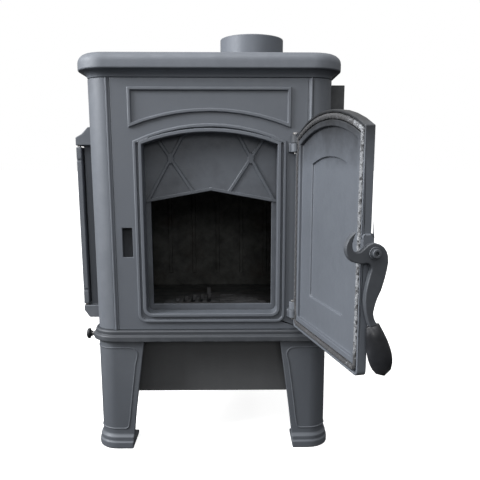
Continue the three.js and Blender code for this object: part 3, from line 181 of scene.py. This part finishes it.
def cast_paint(name, base, darkening=None, grain=1.0, wear_and_highlight=0.3):
    """Matte graphite stove paint on sand-cast iron; its edges are lightened towards bare iron, as
    wear and, where that share is raised, as painted highlight; an optional mask may darken it
    towards near-black.
    """
    n = Nodes(name)
    mottle = n.remap(n.noise(7.0, 4.0), 0.32, 0.68)
    speck = n.noise(420.0, 3.0, 0.7)
    sand = n.noise(1100.0, 2.0, 0.6)
    swell = n.noise(22.0, 2.0, 0.5)
    colour = n.mix(mottle, shade(base, 0.955), shade(base, 1.045))
    colour = n.mix(n.remap(speck, 0.62, 0.8, 0.0, 0.3), colour, shade(base, 1.45))
    colour = n.mix(n.remap(speck, 0.3, 0.18, 0.0, 0.4), colour, shade(base, 0.55))
    # Convex edges are lightened towards bare iron: wear, and painted highlight where the share is
    # raised, as on the ribs inside.
    worn = n.math("MULTIPLY", n.edges(), n.remap(n.noise(60.0, 4.0), 0.4, 0.65, 0.15, wear_and_highlight))
    colour = n.mix(worn, colour, WORN_AND_HIGHLIT_EDGE)
    # The fire frame's mask is thin soot patches; the front door's mask darkens its inner side under
    # the arch.
    if darkening:
        colour = n.mix(darkening(n), colour, NEAR_BLACK)
    n.bump((swell, 0.12, 0.001), (speck, 0.2 * grain, 0.0004), (sand, 0.25 * grain, 0.0002))
    rough = n.remap(n.noise(75.0, 4.0), 0.3, 0.7, 0.46, 0.58)
    return n.finish(colour, rough, metallic=0.1, specular=0.5)


def soot_patches(n):
    """Thin patches of soot, for what is close to the fire."""
    return n.remap(n.noise(14.0, 6.0, 0.65), 0.42, 0.7, 0.0, 0.45)


def dark_under_arch(n):
    """The front door's inner side made darker towards its top, darkest under its arch."""
    face = on_door(0, DOOR_INNER_Y, 0).dot(INWARD)
    inside = n.remap(n.dot(INWARD), face - INNER_SKIN[0], face - INNER_SKIN[1])
    height = n.add("ShaderNodeSeparateXYZ", {0: n.coord}).outputs["Z"]
    patch = n.remap(n.noise(26.0, 5.0, 0.65), 0.3, 0.7, -ARCH_DARK_RAGGED, ARCH_DARK_RAGGED)
    arch = n.remap(n.math("ADD", height, patch), *ARCH_DARK_HEIGHT, 0.0, 0.9)
    return n.math("MULTIPLY", inside, arch)


def sooted_iron(name, base, ash=0.25):
    """Bare iron inside the fire: black soot, brown scale and a dust of pale ash on top faces."""
    n = Nodes(name)
    scale = n.noise(35.0, 6.0, 0.65)
    pits = n.noise(260.0, 4.0, 0.7)
    colour = n.mix(n.remap(scale, 0.35, 0.7), shade(base, 0.6), shade(base, 1.35))
    colour = n.mix(n.remap(n.noise(18.0, 5.0), 0.52, 0.72, 0.0, 0.5), colour, SCALE_BROWN)
    up = n.add("ShaderNodeSeparateXYZ", {0: n.add("ShaderNodeNewGeometry").outputs["Normal"]})
    lying = n.remap(up.outputs["Z"], 0.5, 1.0)
    dust = n.math("MULTIPLY", lying, n.remap(pits, 0.4, 0.7, 0.0, ash))
    colour = n.mix(dust, colour, ASH)
    n.bump((scale, 0.35, 0.001), (pits, 0.4, 0.0004))
    return n.finish(colour, n.remap(pits, 0.3, 0.7, 0.72, 0.95), metallic=0.1, specular=0.25)


def dark_sheet(name, base):
    """Dark painted sheet: fine orange peel, faint rubbing and dust."""
    n = Nodes(name)
    peel = n.noise(700.0, 2.0)
    rub = n.noise(8.0, 6.0, 0.6, (1.0, 1.0, 0.25))
    colour = n.mix(n.remap(rub, 0.35, 0.7), shade(base, 0.88), shade(base, 1.14))
    colour = n.mix(n.remap(n.noise(160.0, 5.0), 0.62, 0.8, 0.0, 0.2), colour, shade(base, 1.8))
    n.bump((peel, 0.18, 0.0002), (rub, 0.1, 0.0008))
    return n.finish(colour, n.remap(n.noise(50.0, 4.0), 0.3, 0.7, 0.42, 0.6), 0.2, 0.45)


def bright_steel(name, base=(0.5, 0.5, 0.51)):
    """Turned steel, dulled and stained."""
    n = Nodes(name)
    lines = n.noise(500.0, 3.0, 0.5, (0.15, 1.0, 1.0))
    stain = n.remap(n.noise(90.0, 5.0, 0.6), 0.42, 0.66)
    colour = n.mix(stain, base, (0.2, 0.18, 0.16))
    n.bump((lines, 0.15, 0.0002))
    return n.finish(colour, n.remap(stain, 0.0, 1.0, 0.28, 0.55), 0.9, 0.5)


def grip_paint(name):
    """Smooth dark enamel on the grips, satin and slightly rubbed."""
    n = Nodes(name)
    rub = n.noise(40.0, 5.0, 0.6)
    colour = n.mix(n.remap(rub, 0.4, 0.7), (0.017, 0.018, 0.021), (0.03, 0.032, 0.037))
    worn = n.math("MULTIPLY", n.edges(0.53, 0.62), n.remap(rub, 0.45, 0.65, 0.0, 0.4))
    colour = n.mix(worn, colour, (0.25, 0.25, 0.26))
    n.bump((n.noise(600.0, 2.0), 0.1, 0.0002), (rub, 0.12, 0.0005))
    return n.finish(colour, n.remap(rub, 0.3, 0.7, 0.34, 0.46), 0.1, 0.55)


def rope_fibre(name, bare):
    """Braided glass-fibre rope: soot and painted shade where the attribute `pale` is low, torn
    silver with painted highlight where high.
    """
    n = Nodes(name)
    thread = n.noise(1400.0, 3.0, 0.7)
    pale = n.add("ShaderNodeAttribute", attribute_name="pale").outputs["Fac"]
    lift = n.remap(pale, 0.0, 1.0, bare - 0.12, bare + 0.05)
    torn_and_highlit = n.remap(n.math("ADD", n.noise(110.0, 6.0, 0.8), lift), 0.5, 0.56)
    sooty_and_shaded = n.mix(n.remap(thread, 0.35, 0.65), *ROPE_SOOT_AND_SHADE)
    silver = n.mix(n.remap(thread, 0.35, 0.68), *ROPE_SILVER_AND_HIGHLIGHT)
    colour = n.mix(torn_and_highlit, sooty_and_shaded, silver)
    n.bump((thread, 0.6, 0.0004), (n.noise(320.0, 3.0), 0.5, 0.0008))
    n.shader.inputs["Sheen Weight"].default_value = 0.15
    n.shader.inputs["Sheen Roughness"].default_value = 0.5
    return n.finish(colour, n.remap(thread, 0.3, 0.7, 0.55, 0.85), 0.0, 0.4)


GRAPHITE = (0.118, 0.130, 0.150)
MATERIALS = {
    "front": cast_paint("stove_paint_front", GRAPHITE),
    "post": cast_paint("stove_paint_posts", shade(GRAPHITE, 1.05), grain=0.8),
    # The top plate's paint is made lighter than the front's: painted light on the top.
    "top": cast_paint("stove_paint_top", shade(GRAPHITE, 1.12), grain=0.9, wear_and_highlight=0.5),
    # The base plate's paint is made much darker: painted shade under its moulding.
    "base": cast_paint("stove_paint_base", shade(GRAPHITE, 0.42), wear_and_highlight=0.5),
    # The legs' paint, also used on the side door and its surround, is made darker: painted shade.
    "leg": cast_paint("stove_paint_legs", shade(GRAPHITE, 0.8)),
    # The front door's paint is made lighter: painted light where the key lamp falls on its inner
    # side.
    "door": cast_paint("stove_paint_door", shade(GRAPHITE, 1.18), dark_under_arch),
    # The fire frame's edges are lightened strongly: wear, and painted highlight on its ribs.
    "inner": cast_paint("stove_paint_inside", shade(GRAPHITE, 0.92), soot_patches, wear_and_highlight=0.8),
    "latch": cast_paint("stove_paint_latch", shade(GRAPHITE, 0.55), grain=0.6, wear_and_highlight=0.6),
    "sooted": sooted_iron("sooted_iron", (0.12, 0.124, 0.126)),
    "grate": sooted_iron("grate_iron", (0.17, 0.172, 0.178), ash=0.08),
    "liner": sooted_iron("liner_iron", (0.105, 0.107, 0.102), ash=0.03),
    "sheet": dark_sheet("dark_sheet", (0.06, 0.063, 0.068)),
    "box": dark_sheet("ash_box_sheet", (0.105, 0.108, 0.112)),
    "steel": bright_steel("worn_steel"),
    "grip": grip_paint("grip_enamel"),
    "rope": rope_fibre("rope_silver", 0.0),
    "fray": rope_fibre("rope_frayed", 0.05),
}


# ---------- Making pieces ----------

WELD = 4e-5
FLAT = math.radians(1.0)  # faces this close to level with each other are one face
BEAD_RADIUS = 0.0013
BEAD_SIDES = 10
BEAD_STEP = 0.003
BRAID_STRANDS = 4  # each way round
BRAID_PITCH = 0.011
BRAID_SIDES = 16
BRAID_DRAWS = 4096


def add(obj, body, material):
    """Puts a piece in the scene with its material and slot, and rides it on its body."""
    scene.collection.objects.link(obj)
    obj.data.materials.clear()
    obj.data.materials.append(MATERIALS[material])
    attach(obj, body)


def refined(node, material, width, segments=2, angle=33.0):
    """The CAD node's shape with its arrises rounded off and its curves shaded smooth."""
    mesh = frame["nodes"][node].data.copy()
    mesh.name = node + "_shape"
    for name in ("custom_normal", "sharp_edge", "sharp_face"):
        if name in mesh.attributes:
            mesh.attributes.remove(mesh.attributes[name])
    bm = bmesh.new()
    bm.from_mesh(mesh)
    bmesh.ops.remove_doubles(bm, verts=bm.verts, dist=WELD)
    bmesh.ops.dissolve_limit(bm, angle_limit=FLAT, verts=bm.verts, edges=bm.edges)
    bmesh.ops.triangulate(bm, faces=bm.faces)
    for face in bm.faces:
        face.smooth = True
    bm.to_mesh(mesh)
    bm.free()
    obj = bpy.data.objects.new(node + "_detailed", mesh)
    if width:
        bevel = obj.modifiers.new("arris", "BEVEL")
        bevel.width = width
        bevel.segments = segments
        bevel.limit_method = "ANGLE"
        bevel.angle_limit = math.radians(angle)
        bevel.use_clamp_overlap = False
        bevel.harden_normals = True
    normals = obj.modifiers.new("normals", "WEIGHTED_NORMAL")
    normals.keep_sharp = True
    add(obj, BODY_OF[node], material)
    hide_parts(node)


def sweep(name, path, section, up, pale=None):
    """A tube along a closed path: section(i) gives the offsets (side, out) of its ring i."""
    count = len(path)
    bm = bmesh.new()
    rings = []
    for i, point in enumerate(path):
        along = (path[(i + 1) % count] - path[i - 1]).normalized()
        side = along.cross(up).normalized()
        out = side.cross(along).normalized()
        rings.append([bm.verts.new(point + side * a + out * b) for a, b in section(i)])
    sides = len(rings[0])
    for i in range(count):
        a, b = rings[i], rings[(i + 1) % count]
        for j in range(sides):
            bm.faces.new((a[j], a[(j + 1) % sides], b[(j + 1) % sides], b[j]))
    for face in bm.faces:
        face.smooth = True
    bmesh.ops.recalc_face_normals(bm, faces=bm.faces)
    mesh = bpy.data.meshes.new(name)
    bm.to_mesh(mesh)
    bm.free()
    if pale:
        values = [pale(point) for point in path for _ in range(sides)]
        mesh.attributes.new("pale", "FLOAT", "POINT").data.foreach_set("value", values)
    return bpy.data.objects.new(name, mesh)


def evenly(path, step):
    """The same closed line with points about a step apart."""
    points = [*path, path[0]]
    lengths = [0.0]
    for a, b in zip(points, points[1:]):
        lengths.append(lengths[-1] + (b - a).length)
    count = max(int(lengths[-1] / step), 4)
    made, k = [], 0
    for i in range(count):
        target = lengths[-1] * i / count
        while k < len(points) - 2 and lengths[k + 1] < target:
            k += 1
        span = lengths[k + 1] - lengths[k]
        t = (target - lengths[k]) / span if span else 0.0
        made.append(points[k].lerp(points[k + 1], t))
    return made


def bead(name, path, body, material, up):
    """A round bead cast along a closed line."""
    ring = [2 * math.pi * j / BEAD_SIDES for j in range(BEAD_SIDES)]
    offsets = [(BEAD_RADIUS * math.cos(a), BEAD_RADIUS * math.sin(a)) for a in ring]
    add(sweep(name, evenly(path, BEAD_STEP), lambda i: offsets, up), body, material)


def braid(radius, step, flat, seed):
    """Ring offsets of a braided rope: two sets of strands that wind round it both ways."""
    noise = random.Random(seed)
    rough = [noise.uniform(0.93, 1.07) for _ in range(BRAID_DRAWS)]

    def section(i):
        turn = 2 * math.pi * i * step / BRAID_PITCH
        ring = []
        for j in range(BRAID_SIDES):
            a = 2 * math.pi * j / BRAID_SIDES
            left = math.cos(BRAID_STRANDS * a + turn)
            right = math.cos(BRAID_STRANDS * a - turn)
            lump = 0.84 + 0.16 * max(left, right)
            r = radius * lump * rough[(i * BRAID_SIDES + j) % BRAID_DRAWS]
            ring.append((r * math.cos(a), r * flat * math.sin(a)))
        return ring

    return section


# ---------- Camera, first ----------

CAMERA_DROP = 11.17  # degrees below level
CAMERA_TURN = -0.98

camera_data = bpy.data.cameras.new("camera")
camera_data.lens = 45.0
camera_data.sensor_width = 36.0
camera_data.shift_x = -0.0125
camera_data.shift_y = 0.1
camera_data.clip_start = 0.05
camera = bpy.data.objects.new("camera", camera_data)
camera.location = place(42.4, -1024.8, 498.9)
camera.rotation_euler = (math.radians(90 - CAMERA_DROP), 0, math.radians(CAMERA_TURN))
scene.collection.objects.link(camera)
scene.camera = camera

# ---------- Castings and plates ----------

refined("top_plate", "top", 0.0012)
refined("base_plate", "base", 0.001)
refined("front_plate", "front", 0.0011)
refined("back_plate", "front", 0.001)
refined("left_side_plate", "front", 0.001)
refined("right_side_plate", "front", 0.001)
refined("side_door_surround", "leg", 0.0013)
refined("front_door", "door", 0.0011)
refined("side_door", "leg", 0.0013)
refined("fire_frame", "inner", 0.0008)
refined("flue_collar", "top", 0.0008)
for corner in ("front_left", "front_right", "rear_left", "rear_right"):
    refined(corner + "_post", "post", 0.0009)
    refined(corner + "_leg", "leg", 0.0014)
    refined(corner + "_tie_rod", "steel", 0.0006)
refined("hearth_plate", "sooted", 0.0012)
for name in ("left_liner", "right_liner", "rear_liner", "baffle_plate"):
    refined(name, "liner", 0.0012)
refined("grate", "grate", 0.0008)
refined("ash_box", "box", 0.0005, 1)
refined("ash_pan", "sheet", 0.0005, 1)
refined("heat_shield", "sheet", 0.0005, 1)
for latch in ("front_latch", "side_latch"):
    refined(latch + "_lever", "latch", 0.0014, 3, 40)
    refined(latch + "_grip", "grip", 0.0)
    refined(latch + "_bolt", "latch", 0.0005)
STEEL_PIECES = ("flue_bolt", "hinge_pin", "shield_spacer", "riddling_rod", "ash_pan_handle")
for node in frame["nodes"]:
    if any(word in node for word in STEEL_PIECES):
        refined(node, "steel", 0.0004)
refined("riddling_knob", "grip", 0.0006)

# ---------- Embossed panels on the legs ----------

LEG_TOP_WIDTH = 85.0
LEG_FOOT_WIDTH = 60.0
LEG_CORNER = 32.0
LEG_FLARE = 1.2  # above 1 the leg widens more towards its top
QUARTER = LEG_CORNER * math.pi / 4  # half the length of the leg's round corner
PANEL_TOP = 189.0
PANEL_LOW = 37.0
PANEL_INSET = 10.5
PANEL_TOP_BEND = 13.0
PANEL_LOW_BEND = 7.0
PANEL_RUN = 20  # half the part of the top and bottom lines that is given point by point
PANEL_RUNGS = 9


def leg_reach(z):
    """How far the panel's line is from the middle of the leg's round corner, along the surface."""
    width = LEG_FOOT_WIDTH + (LEG_TOP_WIDTH - LEG_FOOT_WIDTH) * (z / LEG_HEIGHT) ** LEG_FLARE
    return width - PANEL_INSET - LEG_CORNER + QUARTER


def on_leg(sx, sy, along, z):
    """A point of a leg's outside: `along` runs from its front face round the corner to its side."""
    if abs(along) <= QUARTER:
        angle = math.pi / 4 * (1 + along / QUARTER)
        inset_x = LEG_CORNER * (1 - math.sin(angle))
        inset_y = LEG_CORNER * (1 - math.cos(angle))
    else:
        far = LEG_CORNER + abs(along) - QUARTER
        inset_x, inset_y = (far, 0.0) if along < 0 else (0.0, far)
    y = inset_y if sy < 0 else BODY_DEPTH - inset_y
    return place(sx * (BODY_HALF - inset_x), y, z)


def leg_panel():
    """The closed line of the raised bead, as (distance along, height)."""
    made = []
    across = range(PANEL_RUN, -PANEL_RUN - 1, -5)
    upright = PANEL_TOP - PANEL_LOW - PANEL_TOP_BEND - PANEL_LOW_BEND

    def arc(x, z, radius, start):
        for i in range(7):
            a = start + i * math.pi / 12
            made.append((x + radius * math.cos(a), z + radius * math.sin(a)))

    top, low = leg_reach(PANEL_TOP), leg_reach(PANEL_LOW)
    arc(top - PANEL_TOP_BEND, PANEL_TOP - PANEL_TOP_BEND, PANEL_TOP_BEND, 0.0)
    made.extend((x, PANEL_TOP) for x in across)
    arc(PANEL_TOP_BEND - top, PANEL_TOP - PANEL_TOP_BEND, PANEL_TOP_BEND, math.pi / 2)
    for i in range(1, PANEL_RUNGS):
        z = PANEL_TOP - PANEL_TOP_BEND - upright * i / PANEL_RUNGS
        made.append((-leg_reach(z), z))
    arc(PANEL_LOW_BEND - low, PANEL_LOW + PANEL_LOW_BEND, PANEL_LOW_BEND, math.pi)
    made.extend((-x, PANEL_LOW) for x in across)
    arc(low - PANEL_LOW_BEND, PANEL_LOW + PANEL_LOW_BEND, PANEL_LOW_BEND, 1.5 * math.pi)
    for i in range(1, PANEL_RUNGS):
        z = PANEL_LOW + PANEL_LOW_BEND + upright * i / PANEL_RUNGS
        made.append((leg_reach(z), z))
    return made


for side_name, sx in (("left", -1), ("right", 1)):
    for depth_name, sy in (("front", -1), ("rear", 1)):
        line = [on_leg(sx, sy, along, z) for along, z in leg_panel()]
        name = depth_name + "_" + side_name + "_leg_bead"
        bead(name, line, "stove", "leg", Vector((sx, sy, 0)).normalized())

# ---------- Rope seals ----------

DOOR_HALF = 135.0
DOOR_LOW = 232.5
DOOR_SPRING = 552.0
DOOR_RISE = 29.0
ROPE_IN = 8.5
ROPE_Y = -9.4
ROPE_BEND = 9.0
LUG_LEVELS = (253.0, 534.0)  # the hinge lugs that the rope gives way to
LUG_GIVE = 7.0
LUG_REACH = 13.0
ROPE_STEP = 0.00125
SIDE_ROPE_STEP = ROPE_STEP * 1.6
SIDE_ROPE_IN = 0.0045
SIDE_ROPE_BEND = 0.008


def door_rope_path():
    """The line of the rope round the closed front door, in millimetres, from the hinge side up."""
    radius = (DOOR_HALF**2 + DOOR_RISE**2) / (2 * DOOR_RISE)
    centre = DOOR_SPRING + DOOR_RISE - radius
    side = DOOR_HALF - ROPE_IN
    reach = radius - ROPE_IN
    start = math.acos(side / reach)
    foot = DOOR_LOW + ROPE_IN + ROPE_BEND
    made = []
    for i in range(13):
        a = math.pi * 1.5 + i * math.pi / 24
        made.append((side - ROPE_BEND + ROPE_BEND * math.cos(a), foot + ROPE_BEND * math.sin(a)))
    top = centre + reach * math.sin(start)
    for i in range(1, 60):
        z = foot + (top - foot) * i / 60
        give = max(math.exp(-(((z - lug) / LUG_REACH) ** 2)) for lug in LUG_LEVELS)
        made.append((side - LUG_GIVE * give, z))
    for i in range(41):
        a = start + (math.pi - 2 * start) * i / 40
        made.append((reach * math.cos(a), centre + reach * math.sin(a)))
    for i in range(1, 40):
        made.append((-side, top + (foot - top) * i / 40))
    for i in range(13):
        a = math.pi + i * math.pi / 24
        made.append((-side + ROPE_BEND + ROPE_BEND * math.cos(a), foot + ROPE_BEND * math.sin(a)))
    return made


STEP = 0.00125
SIDE_ROPE_STEP = ROPE_STEP * 1.6
SIDE_ROPE_IN = 0.0045
SIDE_ROPE_BEND = 0.008


def door_rope_path():
    """The line of the rope round the closed front door, in millimetres, from the hinge side up."""
    radius = (DOOR_HALF**2 + DOOR_RISE**2) / (2 * DOOR_RISE)
    centre = DOOR_SPRING + DOOR_RISE - radius
    side = DOOR_HALF - ROPE_IN
    reach = radius - ROPE_IN
    start = math.acos(side / reach)
    low = DOOR_LOW + ROPE_IN
    made = []
    for i in range(13):
        a = math.pi * 1.5 + i * math.pi / 24
        made.append((side - 9 + 9 * math.cos(a), low + 9 + 9 * math.sin(a)))
    top = centre + reach * math.sin(start)
    for i in range(1, 60):
        z = low + 9 + (top - low - 9) * i / 60
        give = max(math.exp(-(((z - lug) / 13) ** 2)) for lug in LUG_LEVELS)
        made.append((side - 7.0 * give, z))
    for i in range(41):
        a = start + (math.pi - 2 * start) * i / 40
        made.append((reach * math.cos(a), centre + reach * math.sin(a)))
    for i in range(1, 40):
        made.append((-side, top + (low + 9 - top) * i / 40))
    for i in range(13):
        a = math.pi + i * math.pi / 24
        made.append((-side + 9 + 9 * math.cos(a), low + 9 + 9 * math.sin(a)))
    return made


rope_line = [on_door(x, ROPE_Y, z) for x, z in door_rope_path()]
rope_points = evenly(rope_line, ROPE_STEP)


def rope_pale(point):
    """Paler along the door's free edge and its top corner, less towards the bottom, dark elsewhere:
    bare silver fibre with painted highlight on the free edge, soot along the arch and painted shade
    along the hinge side.
    """
    closed = UNSWING @ point - SHIFT
    x, z = closed.x * 1000, closed.z * 1000
    free = min(max((-x - 70) / 50, 0.0), 1.0)
    low = min(max((z - 240) / 30, 0.0), 1.0)
    return free * (0.35 + 0.65 * low) + (1 - free) * 0.15


front_braid = braid(0.0037, ROPE_STEP, flat=0.9, seed=4)
rope = sweep("front_door_rope_braid", rope_points, front_braid, INWARD, rope_pale)
add(rope, "front_door", "rope")
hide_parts("front_door_rope")


THREAD_ROOT = 0.0028  # from the rope's middle
THREAD_LENGTH = (0.002, 0.0048)
THREAD_RADIUS = 0.00028
THREAD_SPIN = (0.9, 1.4)  # from straight up towards either side, so the shut door is clear


def fray(name, points, up, count, body, seed, share):
    """Loose threads on a share of a rope's length, as fine three-sided tubes in one mesh."""
    pick = random.Random(seed)
    bm = bmesh.new()
    total = len(points)
    for _ in range(count):
        i = int(total * pick.uniform(*share)) % total
        along = (points[(i + 2) % total] - points[i - 2]).normalized()
        side = along.cross(up).normalized()
        spin = pick.choice((-1, 1)) * pick.uniform(*THREAD_SPIN)
        out = (up * math.cos(spin) + side * math.sin(spin)).normalized()
        root = points[i] + out * THREAD_ROOT
        length = pick.uniform(*THREAD_LENGTH)
        lean = along * pick.uniform(-0.8, 0.8)
        previous = None
        for k in range(4):
            t = k / 3
            centre = root + (out * t * (1.1 - 0.5 * t) + lean * t * t) * length
            thick = THREAD_RADIUS * (1 - 0.7 * t)
            ring = []
            for j in range(3):
                a = 2 * math.pi * j / 3
                offset = along * thick * math.cos(a) + side * thick * math.sin(a)
                ring.append(bm.verts.new(centre + offset))
            if previous:
                for j in range(3):
                    quad = (previous[j], previous[(j + 1) % 3], ring[(j + 1) % 3], ring[j])
                    bm.faces.new(quad)
            else:
                bm.faces.new(ring)
            previous = ring
        bm.faces.new(list(reversed(previous)))
    bmesh.ops.recalc_face_normals(bm, faces=bm.faces)
    mesh = bpy.data.meshes.new(name)
    bm.to_mesh(mesh)
    bm.free()
    add(bpy.data.objects.new(name, mesh), body, "fray")


fray("front_door_rope_threads", rope_points, INWARD, 260, "front_door", 11, (0.36, 0.86))

side_low, side_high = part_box("side_door_rope")
rope_x = (side_low.x + side_high.x) / 2
r0, r1 = side_low.y + SIDE_ROPE_IN, side_high.y - SIDE_ROPE_IN
z0, z1 = side_low.z + SIDE_ROPE_IN, side_high.z - SIDE_ROPE_IN
bend = SIDE_ROPE_BEND
side_path = []
for cy, cz, start in (
    (r1 - bend, z1 - bend, 0.0),
    (r0 + bend, z1 - bend, math.pi / 2),
    (r0 + bend, z0 + bend, math.pi),
    (r1 - bend, z0 + bend, 1.5 * math.pi),
):
    for i in range(7):
        a = start + i * math.pi / 12
        side_path.append(Vector((rope_x, cy + bend * math.cos(a), cz + bend * math.sin(a))))
side_points = evenly(side_path, SIDE_ROPE_STEP)
side_braid = braid(0.0042, SIDE_ROPE_STEP, flat=0.55, seed=9)
side_rope = sweep("side_door_rope_braid", side_points, side_braid, Vector((1, 0, 0)))
add(side_rope, "side_door", "rope")
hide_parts("side_door_rope")

# ---------- Floor and light ----------

FLOOR_SIZE = 400.0
FLOOR_LEVEL = -0.0005
FLOOR_GLOW = 0.8
SKY_LOW, SKY_HIGH = 0.05, 0.95
SKY_LEFT, SKY_RIGHT = 1.35, 0.6

bpy.ops.mesh.primitive_plane_add(size=FLOOR_SIZE, location=(0, 0, FLOOR_LEVEL))
floor = bpy.context.object
floor.name = "floor"
n = Nodes("pale_floor")
tone = n.mix(n.remap(n.noise(3.0, 4.0), 0.3, 0.7), (0.86, 0.86, 0.86), (0.9, 0.9, 0.9))
floor.data.materials.append(n.finish(tone, n.remap(n.noise(20.0), 0.3, 0.7, 0.7, 0.85)))
n.shader.inputs["Emission Color"].default_value = (1.0, 1.0, 1.0, 1.0)
n.shader.inputs["Emission Strength"].default_value = FLOOR_GLOW
floor.visible_diffuse = False
floor.visible_glossy = False

world = bpy.data.worlds.new("studio")
scene.world = world
world.use_nodes = True
tree = world.node_tree


# A white studio, brighter above and to the left; what is seen straight on is plain white.
def world_node(kind, inputs=None, **settings):
    node = tree.nodes.new(kind)
    for key, value in settings.items():
        setattr(node, key, value)
    for key, value in (inputs or {}).items():
        if isinstance(value, bpy.types.NodeSocket):
            tree.links.new(value, node.inputs[key])
        else:
            node.inputs[key].default_value = value
    return node.outputs


def world_ramp(value, low, high, to_low, to_high):
    inputs = {"Value": value, "From Min": low, "From Max": high}
    inputs.update({"To Min": to_low, "To Max": to_high})
    return world_node("ShaderNodeMapRange", inputs)["Result"]


direction = world_node("ShaderNodeTexCoord")["Generated"]
axes = world_node("ShaderNodeSeparateXYZ", {0: direction})
by_height = world_ramp(axes["Z"], -0.25, 0.75, SKY_LOW, SKY_HIGH)
by_side = world_ramp(axes["X"], -0.9, 0.9, SKY_LEFT, SKY_RIGHT)
glow = world_node("ShaderNodeMath", {0: by_height, 1: by_side}, operation="MULTIPLY")[0]
seen = world_node("ShaderNodeLightPath")["Is Camera Ray"]
strength = world_node("ShaderNodeMath", {0: seen, 1: glow}, operation="MAXIMUM")[0]
backdrop = tree.nodes["Background"]
backdrop.inputs["Color"].default_value = (1.0, 1.0, 1.0, 1.0)
tree.links.new(strength, backdrop.inputs["Strength"])


def area(name, size, energy, position, target, colour=(1, 1, 1)):
    data = bpy.data.lights.new(name, "AREA")
    data.shape = "RECTANGLE"
    data.size, data.size_y = size
    data.energy = energy
    data.color = colour
    obj = bpy.data.objects.new(name, data)
    obj.location = position
    aim = Vector(target) - Vector(position)
    obj.rotation_euler = aim.to_track_quat("-Z", "Y").to_euler()
    scene.collection.objects.link(obj)


area("left_key", (1.3, 1.1), 104.0, (-2.5, -0.9, 1.7), (0, 0, 0.45), (0.97, 0.98, 1.0))
area("top_soft", (1.6, 1.4), 20.0, (-0.3, -0.9, 2.4), (0, 0, 0.5))
area("front_fill", (0.5, 0.4), 5.0, (0.25, -2.3, 1.0), (0, 0.1, 0.35))
scene.view_settings.view_transform = "Standard"
scene.view_settings.look = "None"
